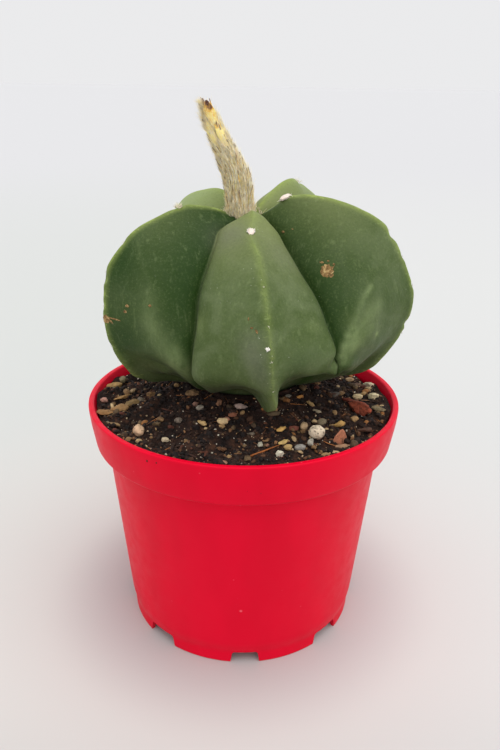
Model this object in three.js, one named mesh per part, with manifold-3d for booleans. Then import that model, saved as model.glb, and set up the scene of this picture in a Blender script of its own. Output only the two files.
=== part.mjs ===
// A bishop's cap cactus with five ribs and a withered flower, in a small nursery pot.
//
// Lengths are millimetres, +Z is up, and the origin is the middle of the pot's foot on the ground.
// Four solids: the pot, the gritty soil that fills it, the ribbed body that is rooted in the soil,
// and the dried flower that stands in the crown.

import * as THREE from "three";
import { mergeVertices } from "three/addons/utils/BufferGeometryUtils.js";
import Module from "manifold-3d";

const wasm = await Module();
wasm.setup();

// ---------------------------------------------------------------- driving dimensions

const CLEARANCE = 0.3; // between pieces that touch

// The pot: a tapered cup with a wide band round its top and a notched foot ring.
const POT_HEIGHT = 66;
const RIM_RADIUS = 42.5;
const LIP_WIDTH = 2.4;
const LIP_HEIGHT = 1.6;
const BAND_HEIGHT = 11.2;
const BAND_TOP_RADIUS = 41.9;
const BAND_BOTTOM_RADIUS = 41.0;
const CUP_TOP_RADIUS = 38.1;
const CUP_BOTTOM_RADIUS = 33.4;
const CUP_BOTTOM_HEIGHT = 6.2;
const FOOT_RADIUS = 32.6;
const FOOT_HEIGHT = 3.5;
const WALL = 1.2;
const BASE_HEIGHT = 3.2; // underside of the raised base plate
const BASE_THICKNESS = 1.4;
const POT_SEGMENTS = 64;
const NOTCH_COUNT = 8;
const NOTCH_FOOT_WIDTH = 8.2;
const NOTCH_TOP_WIDTH = 6.8;
const NOTCH_HEIGHT = 3.0;
const NOTCH_TURN = 1.7; // degrees that the ring of notches is turned from the pot's front
const DRAIN_RADIUS = 2.6;
const DRAIN_CIRCLE_RADIUS = 26;

// The soil: mounded towards the plant, lowest along the back of the pot.
const SOIL_FRONT_DEPTH = 2.6; // below the rim
const SOIL_BACK_DEPTH = 5.6;
const MOUND_HEIGHT = 71;
const MOUND_FOOT_RADIUS = 37;
const CRUMB_RELIEF = 0.5;
const SOIL_COLUMNS = 54;
const SOIL_SURFACE_RINGS = 9;

// Loose pebbles and chips on the soil: place across the pot, half length, and the set's own seed.
const STONE_SEED = 11;
const STONE_COUNT = 46;
const SMALLEST_STONE = 1.3;
const LARGEST_STONE = 2.4;
const LARGE_STONES = [
  { place: [18.6, -22.4], size: 2.6 },
  { place: [25.2, -23.4], size: 2.3 },
  { place: [31.0, -8.4], size: 3.6 },
  { place: [9.2, -33.4], size: 1.7 },
  { place: [-24.6, -26.8], size: 2.1 },
  { place: [-32.6, -15.0], size: 3.0 },
  { place: [-31.0, -6.0], size: 3.2 },
  { place: [-32.2, -19.6], size: 1.9 },
];

// The plant: its axis, the crown between the ribs and the neck that goes down into the soil.
const AXIS = new THREE.Vector2(0.5, 3);
const NECK = [
  [16, 72],
  [12, 60],
  [7, 52],
];
const COLUMNS_PER_FLANK = 6;
const CROWN_ROWS = 12;
const KEEL_ROWS = 8;
const BELLY_STATION = 0.5; // the station of greatest reach, with 0 at the crown
const NECK_STATION = 0.85;

// A rib's crest or the floor of a groove, seen from the side: it rises to `rise` above its belly,
// falls to `drop` below it, and reaches out `reach` from the axis at belly height. `shoulder` and
// `heel` are the exponents of the two superellipse quarters: 2 is an ellipse, more is squarer.
// `turn` swings the foot of a crest round the axis, `dip` sinks it where it meets the crown, and
// `edge` holds the half angles between flanks at the shoulder, belly and keel.
const CRESTS = [
  { azimuth: -85, turn: 6, tuft: 12.5, reach: 35.8, belly: 86, rise: 31, drop: 15.5,
    shoulder: 1.8, heel: 2.7, root: 21, dip: 4, dipWidth: 4, edge: [64, 56, 16] },
  { azimuth: -11, turn: 0, tuft: 10.5, reach: 43, belly: 96, rise: 25.2, drop: 24,
    shoulder: 2.6, heel: 2.9, root: 20, dip: 8, dipWidth: 8, edge: [60, 46, 18] },
  { azimuth: 52, turn: 0, tuft: 19, reach: 41, belly: 95, rise: 28.3, drop: 22.5,
    shoulder: 2.5, heel: 2.7, root: 20, dip: 10, dipWidth: 8, edge: [60, 46, 18] },
  { azimuth: 132, turn: 0, tuft: 16, reach: 38, belly: 94, rise: 26.5, drop: 22.5,
    shoulder: 2.7, heel: 2.7, root: 20, dip: 7, dipWidth: 6, edge: [60, 46, 18] },
  { azimuth: 206, turn: 0, tuft: 19, reach: 39.4, belly: 92, rise: 26.5, drop: 21.5,
    shoulder: 2.35, heel: 2.7, root: 20, dip: 5, dipWidth: 8, edge: [60, 46, 18] },
];
// The groove that follows each crest, anticlockwise seen from above.
const GROOVES = [
  { azimuth: -47.5, turn: 0, reach: 31.5, belly: 86, rise: 27, drop: 14, shoulder: 1.35, heel: 1.5 },
  { azimuth: 22, turn: 0, reach: 26, belly: 85, rise: 28, drop: 13, shoulder: 1.8, heel: 1.7 },
  { azimuth: 93, turn: 0, reach: 25, belly: 85, rise: 28, drop: 13, shoulder: 1.8, heel: 1.7 },
  { azimuth: 169, turn: 0, reach: 25, belly: 85, rise: 28, drop: 13, shoulder: 1.8, heel: 1.7 },
  { azimuth: 242, turn: 0, reach: 26.5, belly: 85, rise: 28, drop: 13, shoulder: 2.15, heel: 1.6 },
].map((groove) => ({ ...groove, root: NECK[0][0], dip: 0, dipWidth: 1 }));
const GROOVE_OPENING = 12; // degrees that each flank turns from the groove's own direction

// Wool cushions along each crest: the youngest at its own distance, then the old ones' stations.
const OLD_AREOLE_STATIONS = [0.3, 0.39, 0.48, 0.57];
const YOUNG_AREOLE_RADIUS = 1.15;
const OLD_AREOLE_RADIUS = 0.7;

// The withered flower: the middle of its tube from base to tip, and its half width at each point.
const FLOWER_SPINE = [
  [-1.4, 3.2, 111.8],
  [-1.7, 3.2, 116],
  [-2.4, 3.2, 123],
  [-3.9, 3.0, 127.5],
  [-5.8, 2.8, 132],
  [-7.7, 2.6, 136.5],
  [-9.2, 2.4, 140],
];
const FLOWER_HALF_WIDTHS = [3.3, 3.5, 3.7, 3.3, 2.4, 1.9, 1.0];
const FLOWER_SIDES = 10;
const FLOWER_ROWS = 14;
const BRISTLE_TURNS = 9;
const BRISTLES_PER_TURN = 6;
const BRISTLE_LENGTH = 4.2;
const BRISTLE_RADIUS = 0.42;
const PETAL_COUNT = 6;
const PETAL_LENGTH = 5.5;
const FLOWER_SEED = 5;

// ---------------------------------------------------------------- small tools

const radians = THREE.MathUtils.degToRad;
const { clamp, lerp, smoothstep } = THREE.MathUtils;

/** A repeatable stream of numbers between 0 and 1. */
function seededRandom(seed) {
  let state = seed;
  return () => {
    state = (state + 0x6d2b79f5) | 0;
    let mixed = Math.imul(state ^ (state >>> 15), 1 | state);
    mixed = (mixed + Math.imul(mixed ^ (mixed >>> 7), 61 | mixed)) ^ mixed;
    return ((mixed ^ (mixed >>> 14)) >>> 0) / 4294967296;
  };
}

/** Straight-line lookup of a value in matching lists of rising keys and results. */
function interpolate(value, keys, results) {
  const next = keys.findIndex((key) => key > value);
  if (next === 0) return results[0];
  if (next < 0) return results.at(-1);
  const share = (value - keys[next - 1]) / (keys[next] - keys[next - 1]);
  return lerp(results[next - 1], results[next], share);
}

/** A closed solid from a three.js geometry. */
function solidOf(geometry) {
  geometry.deleteAttribute("normal");
  geometry.deleteAttribute("uv");
  const merged = mergeVertices(geometry, 1e-4);
  const mesh = new wasm.Mesh({
    numProp: 3,
    vertProperties: new Float32Array(merged.attributes.position.array),
    triVerts: new Uint32Array(merged.index.array),
  });
  return new wasm.Manifold(mesh);
}

/** The three.js geometry of a solid. */
function geometryOf(solid) {
  const { vertProperties, triVerts } = solid.getMesh();
  const geometry = new THREE.BufferGeometry();
  geometry.setAttribute("position", new THREE.BufferAttribute(vertProperties, 3));
  geometry.setIndex(new THREE.BufferAttribute(triVerts, 1));
  return geometry;
}

/**
 * A closed skin through rings that run from the top to the bottom. Each ring is a function of the
 * column, anticlockwise seen from above; the first and last rings are single points.
 */
function skin(columns, rings) {
  const geometry = new THREE.SphereGeometry(1, columns, rings.length - 1);
  const { position } = geometry.attributes;
  rings.forEach((ring, row) => {
    for (let column = 0; column <= columns; column += 1) {
      const { x, y, z } = ring(column % columns);
      position.setXYZ(row * (columns + 1) + column, x, y, z);
    }
  });
  return geometry;
}

/** A point at a distance, direction and height round a vertical axis. */
function roundAxis(axis, distance, azimuth, height) {
  const angle = radians(azimuth);
  const x = axis.x + distance * Math.cos(angle);
  const y = axis.y + distance * Math.sin(angle);
  return new THREE.Vector3(x, y, height);
}

// ---------------------------------------------------------------- pot

/** Height of the step under the band. */
const STEP_HEIGHT = POT_HEIGHT - BAND_HEIGHT;
const FLOOR_HEIGHT = BASE_HEIGHT + BASE_THICKNESS;

/** The tapered wall's inner radius at a height below the band. */
function innerRadius(height) {
  const share = (height - CUP_BOTTOM_HEIGHT) / (STEP_HEIGHT - CUP_BOTTOM_HEIGHT);
  return lerp(CUP_BOTTOM_RADIUS, CUP_TOP_RADIUS, share) - WALL;
}

/** The cup's inside from the lip down to its floor, as [radius, height], `gap` in from the wall. */
function innerOutline(gap) {
  return [
    [RIM_RADIUS - LIP_WIDTH - gap, POT_HEIGHT - LIP_HEIGHT],
    [BAND_BOTTOM_RADIUS - WALL - gap, STEP_HEIGHT + WALL],
    [innerRadius(STEP_HEIGHT - WALL) - gap, STEP_HEIGHT - WALL],
    [innerRadius(CUP_BOTTOM_HEIGHT) - gap, CUP_BOTTOM_HEIGHT + gap],
    [FOOT_RADIUS - 2 * WALL - gap, FLOOR_HEIGHT + gap],
  ];
}

/** The whole pot: the turned wall and base, less its notches and drainage holes. */
function makePot() {
  const lipBottom = POT_HEIGHT - LIP_HEIGHT;
  const edge = 0.5; // rounding of the lip and of the band's lower edge
  const outline = [
    [0, BASE_HEIGHT],
    [FOOT_RADIUS - WALL, BASE_HEIGHT],
    [FOOT_RADIUS - WALL, 0],
    [FOOT_RADIUS, 0],
    [FOOT_RADIUS, FOOT_HEIGHT],
    [CUP_BOTTOM_RADIUS, CUP_BOTTOM_HEIGHT],
    [CUP_TOP_RADIUS, STEP_HEIGHT],
    [BAND_BOTTOM_RADIUS - edge, STEP_HEIGHT],
    [BAND_BOTTOM_RADIUS, STEP_HEIGHT + edge],
    [BAND_TOP_RADIUS, lipBottom],
    [RIM_RADIUS, lipBottom + edge],
    [RIM_RADIUS, POT_HEIGHT - edge],
    [RIM_RADIUS - edge, POT_HEIGHT],
    [RIM_RADIUS - LIP_WIDTH + edge, POT_HEIGHT],
    [RIM_RADIUS - LIP_WIDTH, POT_HEIGHT - edge],
    ...innerOutline(0),
    [0, FLOOR_HEIGHT],
  ].map(([radius, height]) => new THREE.Vector2(radius, height));
  const turned = new THREE.LatheGeometry(outline, POT_SEGMENTS).rotateX(Math.PI / 2);
  const cutters = [drainCutter(0, 0)];
  for (let index = 0; index < NOTCH_COUNT; index += 1) {
    const turn = radians(NOTCH_TURN) + (index * 2 * Math.PI) / NOTCH_COUNT;
    cutters.push(notchCutter(turn), drainCutter(DRAIN_CIRCLE_RADIUS, turn));
  }
  return geometryOf(solidOf(turned).subtract(wasm.Manifold.union(cutters.map(solidOf))));
}

/** A wedge that cuts one drainage notch through the foot ring. */
function notchCutter(turn) {
  const outline = new THREE.Shape([
    new THREE.Vector2(-NOTCH_FOOT_WIDTH / 2, -1),
    new THREE.Vector2(NOTCH_FOOT_WIDTH / 2, -1),
    new THREE.Vector2(NOTCH_TOP_WIDTH / 2, NOTCH_HEIGHT),
    new THREE.Vector2(-NOTCH_TOP_WIDTH / 2, NOTCH_HEIGHT),
  ]);
  const depth = 5 * WALL;
  return new THREE.ExtrudeGeometry(outline, { depth, bevelEnabled: false })
    .rotateX(Math.PI / 2)
    .translate(0, depth / 2 - FOOT_RADIUS, 0)
    .rotateZ(turn);
}

/** A plug that cuts one drainage hole through the base plate. */
function drainCutter(distance, turn) {
  return new THREE.CylinderGeometry(DRAIN_RADIUS, DRAIN_RADIUS, 4 * BASE_THICKNESS, 12)
    .rotateX(Math.PI / 2)
    .translate(0, -distance, FLOOR_HEIGHT)
    .rotateZ(turn);
}

// ---------------------------------------------------------------- soil

/** Soil height at a point, from the mound round the plant down to the pot's wall. */
function soilHeight(x, y) {
  const distance = Math.hypot(x - AXIS.x, y - AXIS.y);
  const back = clamp((1 + y / RIM_RADIUS) / 2, 0, 1);
  const edge = POT_HEIGHT - lerp(SOIL_FRONT_DEPTH, SOIL_BACK_DEPTH, back);
  const spread = (distance - NECK[0][0]) / (MOUND_FOOT_RADIUS - NECK[0][0]);
  const slope = (1 - clamp(spread, 0, 1)) ** 1.5;
  const clods = Math.sin(x * 0.5 + 1.3) * Math.sin(y * 0.6 + 0.4) + Math.sin(x * 0.3 - y * 0.4);
  const loose = smoothstep(distance, NECK[0][0] + 1, NECK[0][0] + 8);
  return lerp(edge, MOUND_HEIGHT, slope) + CRUMB_RELIEF * loose * clods;
}

/** The soil without its pebbles: mound, outer wall and a plain hole for the plant's neck. */
function makeSoilBed() {
  const azimuthOf = (column) => (360 * column) / SOIL_COLUMNS;
  const centre = new THREE.Vector2(0, 0);
  const holeRings = [...NECK].reverse().map(([radius, height], index) => (column) => {
    const lowered = index === 0 ? height - CLEARANCE : height;
    return roundAxis(AXIS, radius + CLEARANCE, azimuthOf(column), Math.min(lowered, MOUND_HEIGHT));
  });
  const [top, ...wall] = innerOutline(CLEARANCE);
  const surfaceRings = [];
  for (let index = 1; index <= SOIL_SURFACE_RINGS; index += 1) {
    surfaceRings.push((column) => {
      const inner = roundAxis(AXIS, NECK[0][0] + CLEARANCE, azimuthOf(column), 0);
      const outer = roundAxis(centre, top[0], azimuthOf(column), 0);
      const point = inner.lerp(outer, index / SOIL_SURFACE_RINGS);
      return point.setZ(soilHeight(point.x, point.y));
    });
  }
  const wallRings = wall.map(([radius, height]) => (column) =>
    roundAxis(centre, radius, azimuthOf(column), height));
  return skin(SOIL_COLUMNS, [
    () => roundAxis(AXIS, 0, 0, NECK.at(-1)[1] - CLEARANCE),
    ...holeRings,
    ...surfaceRings,
    ...wallRings,
    () => new THREE.Vector3(0, 0, FLOOR_HEIGHT + CLEARANCE),
  ]);
}

/** One chipped pebble of a half length, bedded in the soil at a place. */
function pebble(random, place, size) {
  const stone = new THREE.IcosahedronGeometry(size, 0);
  stone.deleteAttribute("normal");
  stone.deleteAttribute("uv");
  const chipped = mergeVertices(stone);
  const { position } = chipped.attributes;
  for (let index = 0; index < position.count; index += 1) {
    const chip = lerp(0.85, 1.05, random());
    const x = position.getX(index) * chip;
    const y = position.getY(index) * chip * 0.8;
    position.setXYZ(index, x, y, position.getZ(index) * chip * 0.6);
  }
  const height = soilHeight(...place) + 0.05 * size;
  return chipped
    .rotateX(lerp(-0.35, 0.35, random()))
    .rotateZ(2 * Math.PI * random())
    .translate(...place, height);
}

/** Seeded places for the small pebbles, clear of each other and small beneath the plant. */
function scatterStones(random) {
  const stones = [...LARGE_STONES];
  const nearest = NECK[0][0] + 4;
  const farthest = RIM_RADIUS - LIP_WIDTH - LARGEST_STONE;
  while (stones.length < LARGE_STONES.length + STONE_COUNT) {
    const distance = Math.sqrt(lerp(nearest ** 2, farthest ** 2, random()));
    const { x, y } = roundAxis(new THREE.Vector2(0, 0), distance, 360 * random(), 0);
    const size = lerp(SMALLEST_STONE, distance > 26 ? LARGEST_STONE : 1.6, random() ** 2);
    const clear = ({ place, size: other }) => Math.hypot(x - place[0], y - place[1]) > size + other;
    if (stones.every(clear) && Math.hypot(x - AXIS.x, y - AXIS.y) > nearest) {
      stones.push({ place: [x, y], size });
    }
  }
  return stones;
}

function makeSoil() {
  const random = seededRandom(STONE_SEED);
  const stones = scatterStones(random).map(({ place, size }) => pebble(random, place, size));
  return geometryOf(wasm.Manifold.union([makeSoilBed(), ...stones].map(solidOf)));
}

// ---------------------------------------------------------------- cactus body

/** Distance from the axis and height of a crest or groove at a station. */
function sideView({ reach, belly, rise, drop, shoulder, heel, root, dip, dipWidth }, station) {
  if (station <= BELLY_STATION) {
    const angle = (Math.PI / 2) * (station / BELLY_STATION);
    const distance = reach * Math.sin(angle) ** (2 / shoulder);
    const sunk = dip * Math.exp(-((distance / dipWidth) ** 2));
    return [distance, belly + rise * Math.max(Math.cos(angle), 0) ** (2 / shoulder) - sunk];
  }
  if (station <= NECK_STATION) {
    const angle = (Math.PI / 2) * ((station - BELLY_STATION) / (NECK_STATION - BELLY_STATION));
    const distance = root + (reach - root) * Math.max(Math.cos(angle), 0) ** (2 / heel);
    return [distance, belly - drop * Math.sin(angle) ** (2 / heel)];
  }
  const keys = [NECK_STATION, 0.9, 0.95, 1];
  const radii = [root, ...NECK.map(([radius]) => radius)];
  const heights = [belly - drop, ...NECK.map(([, height]) => height)];
  return [interpolate(station, keys, radii), interpolate(station, keys, heights)];
}

/** Direction of a crest or groove at a station, in degrees. */
function bearing({ azimuth, turn }, station) {
  return azimuth + turn * clamp(station / 0.6, 0, 1);
}

/** A point of a crest or groove. */
function linePoint(line, station) {
  const [distance, height] = sideView(line, station);
  return roundAxis(AXIS, distance, bearing(line, station), height);
}

/**
 * A point of a flank, from the groove (share 0) to the crest (share 1) at a station. The flank is
 * a cubic curve that leaves the groove almost radially and meets the crest at its half angle.
 * Below the belly it swells beside the groove and pinches to a thin keel under the crest.
 */
function flankPoint(crest, groove, side, station, share) {
  const start = linePoint(groove, station);
  const end = linePoint(crest, station);
  const span = Math.hypot(end.x - start.x, end.y - start.y);
  const low = [0, BELLY_STATION, 0.75, NECK_STATION, 1];
  const out = span * interpolate(station, low, [0.36, 0.38, 0.5, 0.45, 0.36]);
  const back = span * interpolate(station, low, [0.36, 0.36, 0.5, 0.5, 0.36]);
  const angles = [75, ...crest.edge, crest.edge[2], 80];
  const halfAngle = interpolate(station, [0, 0.2, BELLY_STATION, 0.72, NECK_STATION, 1], angles);
  const leaving = radians(bearing(groove, station) + side * GROOVE_OPENING);
  const arriving = radians(bearing(crest, station) + side * halfAngle);
  const first = new THREE.Vector3(Math.cos(leaving), Math.sin(leaving), 0);
  const second = new THREE.Vector3(-Math.cos(arriving), -Math.sin(arriving), 0);
  first.multiplyScalar(out).add(start);
  second.multiplyScalar(back).add(end);
  first.z = lerp(start.z, end.z, interpolate(station, low, [0.3, 0.3, 0, 0, 0.3]));
  second.z = lerp(start.z, end.z, interpolate(station, low, [0.72, 0.72, 0.22, 0.22, 0.72]));
  const point = new THREE.CubicBezierCurve3(start, first, second, end).getPoint(share);
  return point.lerp(roundPoint(crest, groove, station, share), neckRound(station));
}

/** How far a station has left the ribs for the round neck: 0 on the ribs, 1 on the neck. */
function neckRound(station) {
  return smoothstep(station, NECK_STATION - 0.03, 0.9);
}

/** A point of the round neck between a groove and a crest. */
function roundPoint(crest, groove, station, share) {
  const [grooveDistance, grooveHeight] = sideView(groove, station);
  const [crestDistance, crestHeight] = sideView(crest, station);
  return roundAxis(
    AXIS,
    lerp(grooveDistance, crestDistance, share),
    lerp(bearing(groove, station), bearing(crest, station), share),
    lerp(grooveHeight, crestHeight, share),
  );
}

/** The point of the skin in a column: up one flank from a groove to the crest, and down the next. */
function skinPoint(column, station) {
  const columnsPerRib = 2 * COLUMNS_PER_FLANK;
  const rib = Math.floor(column / columnsPerRib);
  const step = column % columnsPerRib;
  const crest = CRESTS[rib];
  if (step < COLUMNS_PER_FLANK) {
    return flankPoint(crest, grooveBefore(rib), 1, station, step / COLUMNS_PER_FLANK);
  }
  return flankPoint(crest, GROOVES[rib], -1, station, 2 - step / COLUMNS_PER_FLANK);
}

/** The groove clockwise of a rib, with its direction counted on from the rib's own. */
function grooveBefore(rib) {
  if (rib > 0) return GROOVES[rib - 1];
  const last = GROOVES.at(-1);
  return { ...last, azimuth: last.azimuth - 360 };
}

/** Wool cushions along every crest, sunk half into it. */
function makeAreoles() {
  const cushions = [];
  for (const crest of CRESTS) {
    const share = (crest.tuft / crest.reach) ** (crest.shoulder / 2);
    const young = (BELLY_STATION * Math.asin(share)) / (Math.PI / 2);
    const { x, y, z } = linePoint(crest, young);
    cushions.push(new THREE.IcosahedronGeometry(YOUNG_AREOLE_RADIUS, 0).translate(x, y, z));
    for (const station of OLD_AREOLE_STATIONS) {
      const old = linePoint(crest, station);
      const cushion = new THREE.IcosahedronGeometry(OLD_AREOLE_RADIUS, 0);
      cushions.push(cushion.translate(old.x, old.y, old.z));
    }
  }
  return cushions;
}

function makeCactusBody() {
  const stations = [];
  for (let row = 1; row <= CROWN_ROWS; row += 1) stations.push((BELLY_STATION * row) / CROWN_ROWS);
  for (let row = 1; row <= KEEL_ROWS; row += 1) {
    stations.push(lerp(BELLY_STATION, NECK_STATION, row / KEEL_ROWS));
  }
  stations.push(0.9, 0.95, 1);
  const crown = linePoint(GROOVES[0], 0);
  const rings = [
    () => crown,
    ...stations.map((station) => (column) => skinPoint(column, station)),
    () => roundAxis(AXIS, 0, 0, NECK.at(-1)[1]),
  ];
  const ribs = solidOf(skin(2 * COLUMNS_PER_FLANK * CRESTS.length, rings));
  const grown = wasm.Manifold.union([ribs, ...makeAreoles().map(solidOf)]);
  return geometryOf(grown.subtract(solidOf(flowerTube(CLEARANCE))));
}

// ---------------------------------------------------------------- withered flower

const flowerCurve = new THREE.CatmullRomCurve3(
  FLOWER_SPINE.map(([x, y, z]) => new THREE.Vector3(x, y, z)),
);

/** The flower tube's half width a share of the way up it. */
function flowerHalfWidth(share) {
  const keys = FLOWER_HALF_WIDTHS.map((_, index) => index / (FLOWER_HALF_WIDTHS.length - 1));
  return interpolate(share, keys, FLOWER_HALF_WIDTHS);
}

/** The direction square to the tube at a turn round it, and the tube's own direction there. */
function flowerFrame(share, turn) {
  const along = flowerCurve.getTangent(share);
  const side = new THREE.Vector3(0, 1, 0).cross(along).normalize();
  const back = new THREE.Vector3().crossVectors(along, side);
  const out = side.multiplyScalar(Math.cos(turn)).addScaledVector(back, Math.sin(turn));
  return { along, out };
}

/** A point of the tube, `grow` out from its skin. */
function flowerPoint(share, turn, grow) {
  const { out } = flowerFrame(share, turn);
  const wrinkle = 1 + 0.05 * Math.sin(3 * turn + 9 * share);
  return flowerCurve.getPoint(share).addScaledVector(out, flowerHalfWidth(share) * wrinkle + grow);
}

/** The flower's tube, `grow` larger all round. */
function flowerTube(grow) {
  const rings = [() => flowerCurve.getPoint(1).add(new THREE.Vector3(0, 0, 0.6 + grow))];
  for (let row = FLOWER_ROWS; row >= 0; row -= 1) {
    const share = row / FLOWER_ROWS;
    const sink = row === 0 ? grow : 0;
    rings.push((column) => {
      const point = flowerPoint(share, (column * 2 * Math.PI) / FLOWER_SIDES, grow);
      return point.setZ(point.z - sink);
    });
  }
  rings.push(() => flowerCurve.getPoint(0).sub(new THREE.Vector3(0, 0, grow)));
  return skin(FLOWER_SIDES, rings);
}

/** A pointed sliver of a base radius and length, from a point of the tube along a direction. */
function sliver(radius, length, flatness, root, direction) {
  const upright = new THREE.Vector3(0, 1, 0);
  return new THREE.ConeGeometry(radius, length, 4)
    .translate(0, length / 2, 0)
    .scale(1, 1, flatness)
    .applyQuaternion(new THREE.Quaternion().setFromUnitVectors(upright, direction))
    .translate(root.x, root.y, root.z);
}

/** Bristly scales that lie up the tube in staggered turns, above the crown. */
function makeBristles(random) {
  const bristles = [];
  for (let turn = 0; turn < BRISTLE_TURNS; turn += 1) {
    for (let index = 0; index < BRISTLES_PER_TURN; index += 1) {
      const share = lerp(0.32, 0.86, (turn + 0.5 * random()) / BRISTLE_TURNS);
      const angle = ((index + 0.5 * (turn % 2) + 0.3 * random()) * 2 * Math.PI) / BRISTLES_PER_TURN;
      const { along, out } = flowerFrame(share, angle);
      const direction = along.addScaledVector(out, lerp(0.12, 0.3, random())).normalize();
      const root = flowerPoint(share, angle, -2 * BRISTLE_RADIUS);
      const length = BRISTLE_LENGTH * lerp(0.8, 1.2, random());
      bristles.push(sliver(BRISTLE_RADIUS, length, 1, root, direction));
    }
  }
  return bristles;
}

/** Shrivelled petals that close over the tip. */
function makePetals(random) {
  const petals = [];
  for (let index = 0; index < PETAL_COUNT; index += 1) {
    const turn = ((index + 0.4 * random()) * 2 * Math.PI) / PETAL_COUNT;
    const { along, out } = flowerFrame(0.85, turn);
    const direction = along.addScaledVector(out, lerp(-0.08, 0.16, random())).normalize();
    const root = flowerPoint(0.85, turn, -1.1);
    petals.push(sliver(1.2, PETAL_LENGTH * lerp(0.9, 1.25, random()), 0.6, root, direction));
  }
  return petals;
}

function makeFlower() {
  const random = seededRandom(FLOWER_SEED);
  const pieces = [flowerTube(0), ...makeBristles(random), ...makePetals(random)];
  return geometryOf(wasm.Manifold.union(pieces.map(solidOf)));
}

// ---------------------------------------------------------------- assembly

/** A named mesh with its own finish. */
function piece(name, geometry, color, roughness) {
  const finish = new THREE.MeshStandardMaterial({ color, roughness, metalness: 0 });
  const mesh = new THREE.Mesh(geometry, finish);
  mesh.name = name;
  return mesh;
}

const pottedCactus = new THREE.Group();
pottedCactus.add(
  piece("pot", makePot(), 0xde1730, 0.4),
  piece("soil", makeSoil(), 0x2b211b, 0.95),
  piece("cactus_body", makeCactusBody(), 0x4d6b45, 0.6),
  piece("withered_flower", makeFlower(), 0xb7a67c, 0.9),
);

export default pottedCactus;
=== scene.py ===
"""Looks of a potted bishop's cap cactus with a withered flower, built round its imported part.

Every size in the classes is in millimetres, in the part's own frame: +Z is up and the origin is
the middle of the pot's foot. Meshes are in metres, so sizes are multiplied by MM on their way.
"""

import logging
import math
from collections.abc import Callable, Sequence
from dataclasses import dataclass, field
from enum import Enum

import bmesh
import bpy
import numpy as np
from mathutils import Matrix, Vector
from mathutils.bvhtree import BVHTree

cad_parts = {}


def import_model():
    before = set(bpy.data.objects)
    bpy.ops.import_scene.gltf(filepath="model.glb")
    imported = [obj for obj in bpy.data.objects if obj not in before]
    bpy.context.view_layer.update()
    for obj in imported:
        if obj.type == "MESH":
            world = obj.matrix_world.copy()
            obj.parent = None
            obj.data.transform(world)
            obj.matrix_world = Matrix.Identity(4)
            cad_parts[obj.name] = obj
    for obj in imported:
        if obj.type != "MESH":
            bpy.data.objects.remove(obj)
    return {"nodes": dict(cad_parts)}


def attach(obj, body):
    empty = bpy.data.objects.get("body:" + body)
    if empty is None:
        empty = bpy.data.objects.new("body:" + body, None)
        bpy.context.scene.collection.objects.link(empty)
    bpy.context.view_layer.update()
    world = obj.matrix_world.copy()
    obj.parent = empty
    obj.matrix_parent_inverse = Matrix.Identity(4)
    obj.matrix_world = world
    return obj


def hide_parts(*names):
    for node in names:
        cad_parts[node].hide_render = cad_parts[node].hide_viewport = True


MM = 0.001
# The most triangles that one mesh of copies takes, so that no mesh is thinned when it is written out.
MOST_TRIANGLES = 196_000
BODY = "root"
LOG = logging.getLogger("bishops_cap")

Colour = tuple[float, float, float, float]
Place = tuple[float, float, float]
Piece = bpy.types.Object
Material = bpy.types.Material
Socket = bpy.types.NodeSocket
Array = np.ndarray
Stream = np.random.Generator


class Slot(Enum):
    """The material slots of the part."""

    POT = "pot_plastic"
    SOIL = "gritty_soil"
    SKIN = "cactus_skin"
    FLOWER = "dried_flower"


class Node(Enum):
    """The solids of the part that finer pieces stand for."""

    POT = "pot"
    SOIL = "soil"
    PLANT = "cactus_body"
    FLOWER = "withered_flower"


# ---------------------------------------------------------------- small tools


def screen(red: int, green: int, blue: int) -> Colour:
    """Turns a colour given as on a screen, 0 to 255, into the linear one a socket takes.

    Args:
        red: The red channel.
        green: The green channel.
        blue: The blue channel.

    Returns:
        The linear colour with full alpha.
    """
    shares = [channel / 255 for channel in (red, green, blue)]
    lit = [s / 12.92 if s <= 0.04045 else ((s + 0.055) / 1.055) ** 2.4 for s in shares]
    return (lit[0], lit[1], lit[2], 1.0)


def smooth_step(value: Array, low: float, high: float) -> Array:
    """Shares that rise smoothly from 0 where the values are `low` to 1 where they are `high`."""
    share = np.clip((value - low) / (high - low), 0, 1)
    return share * share * (3 - 2 * share)


def bell(distance: Array, width: float | Array) -> Array:
    """A share that is 1 at no distance and fades to nothing over a few widths."""
    return np.exp(-((distance / width) ** 2))


def unit(vector: Array) -> Array:
    """A vector's direction, with the length 1."""
    return vector / np.linalg.norm(vector)


def level_way(angle: float) -> Array:
    """The level direction at an angle round Z, in radians."""
    return np.array([math.cos(angle), math.sin(angle), 0])


def clear_selection() -> None:
    """Leaves edit mode and deselects every object."""
    if bpy.context.object and bpy.context.object.mode != "OBJECT":
        bpy.ops.object.mode_set(mode="OBJECT")
    bpy.ops.object.select_all(action="DESELECT")


def name_newest(name: str) -> Piece:
    """Names the primitive that was just added and moves its place into its mesh.

    Args:
        name: The piece's name.

    Returns:
        The piece, which stays selected and active.
    """
    piece = bpy.context.object
    piece.name = piece.data.name = name
    bpy.ops.object.transform_apply(location=True, rotation=True, scale=True)
    return piece


def make_active(piece: Piece) -> None:
    """Selects one piece alone.

    Args:
        piece: The piece.
    """
    clear_selection()
    piece.select_set(True)
    bpy.context.view_layer.objects.active = piece


def corners(piece: Piece) -> Array:
    """The places of a piece's vertices in metres, one row each.

    Args:
        piece: The piece.

    Returns:
        The places.
    """
    places = np.empty(3 * len(piece.data.vertices), np.float32)
    piece.data.vertices.foreach_get("co", places)
    return places.reshape(-1, 3).astype(float)


def move_corners(piece: Piece, places: Array) -> None:
    """Puts a piece's vertices at new places, in metres."""
    piece.data.vertices.foreach_set("co", places.astype(np.float32).ravel())
    piece.data.update()


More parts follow.
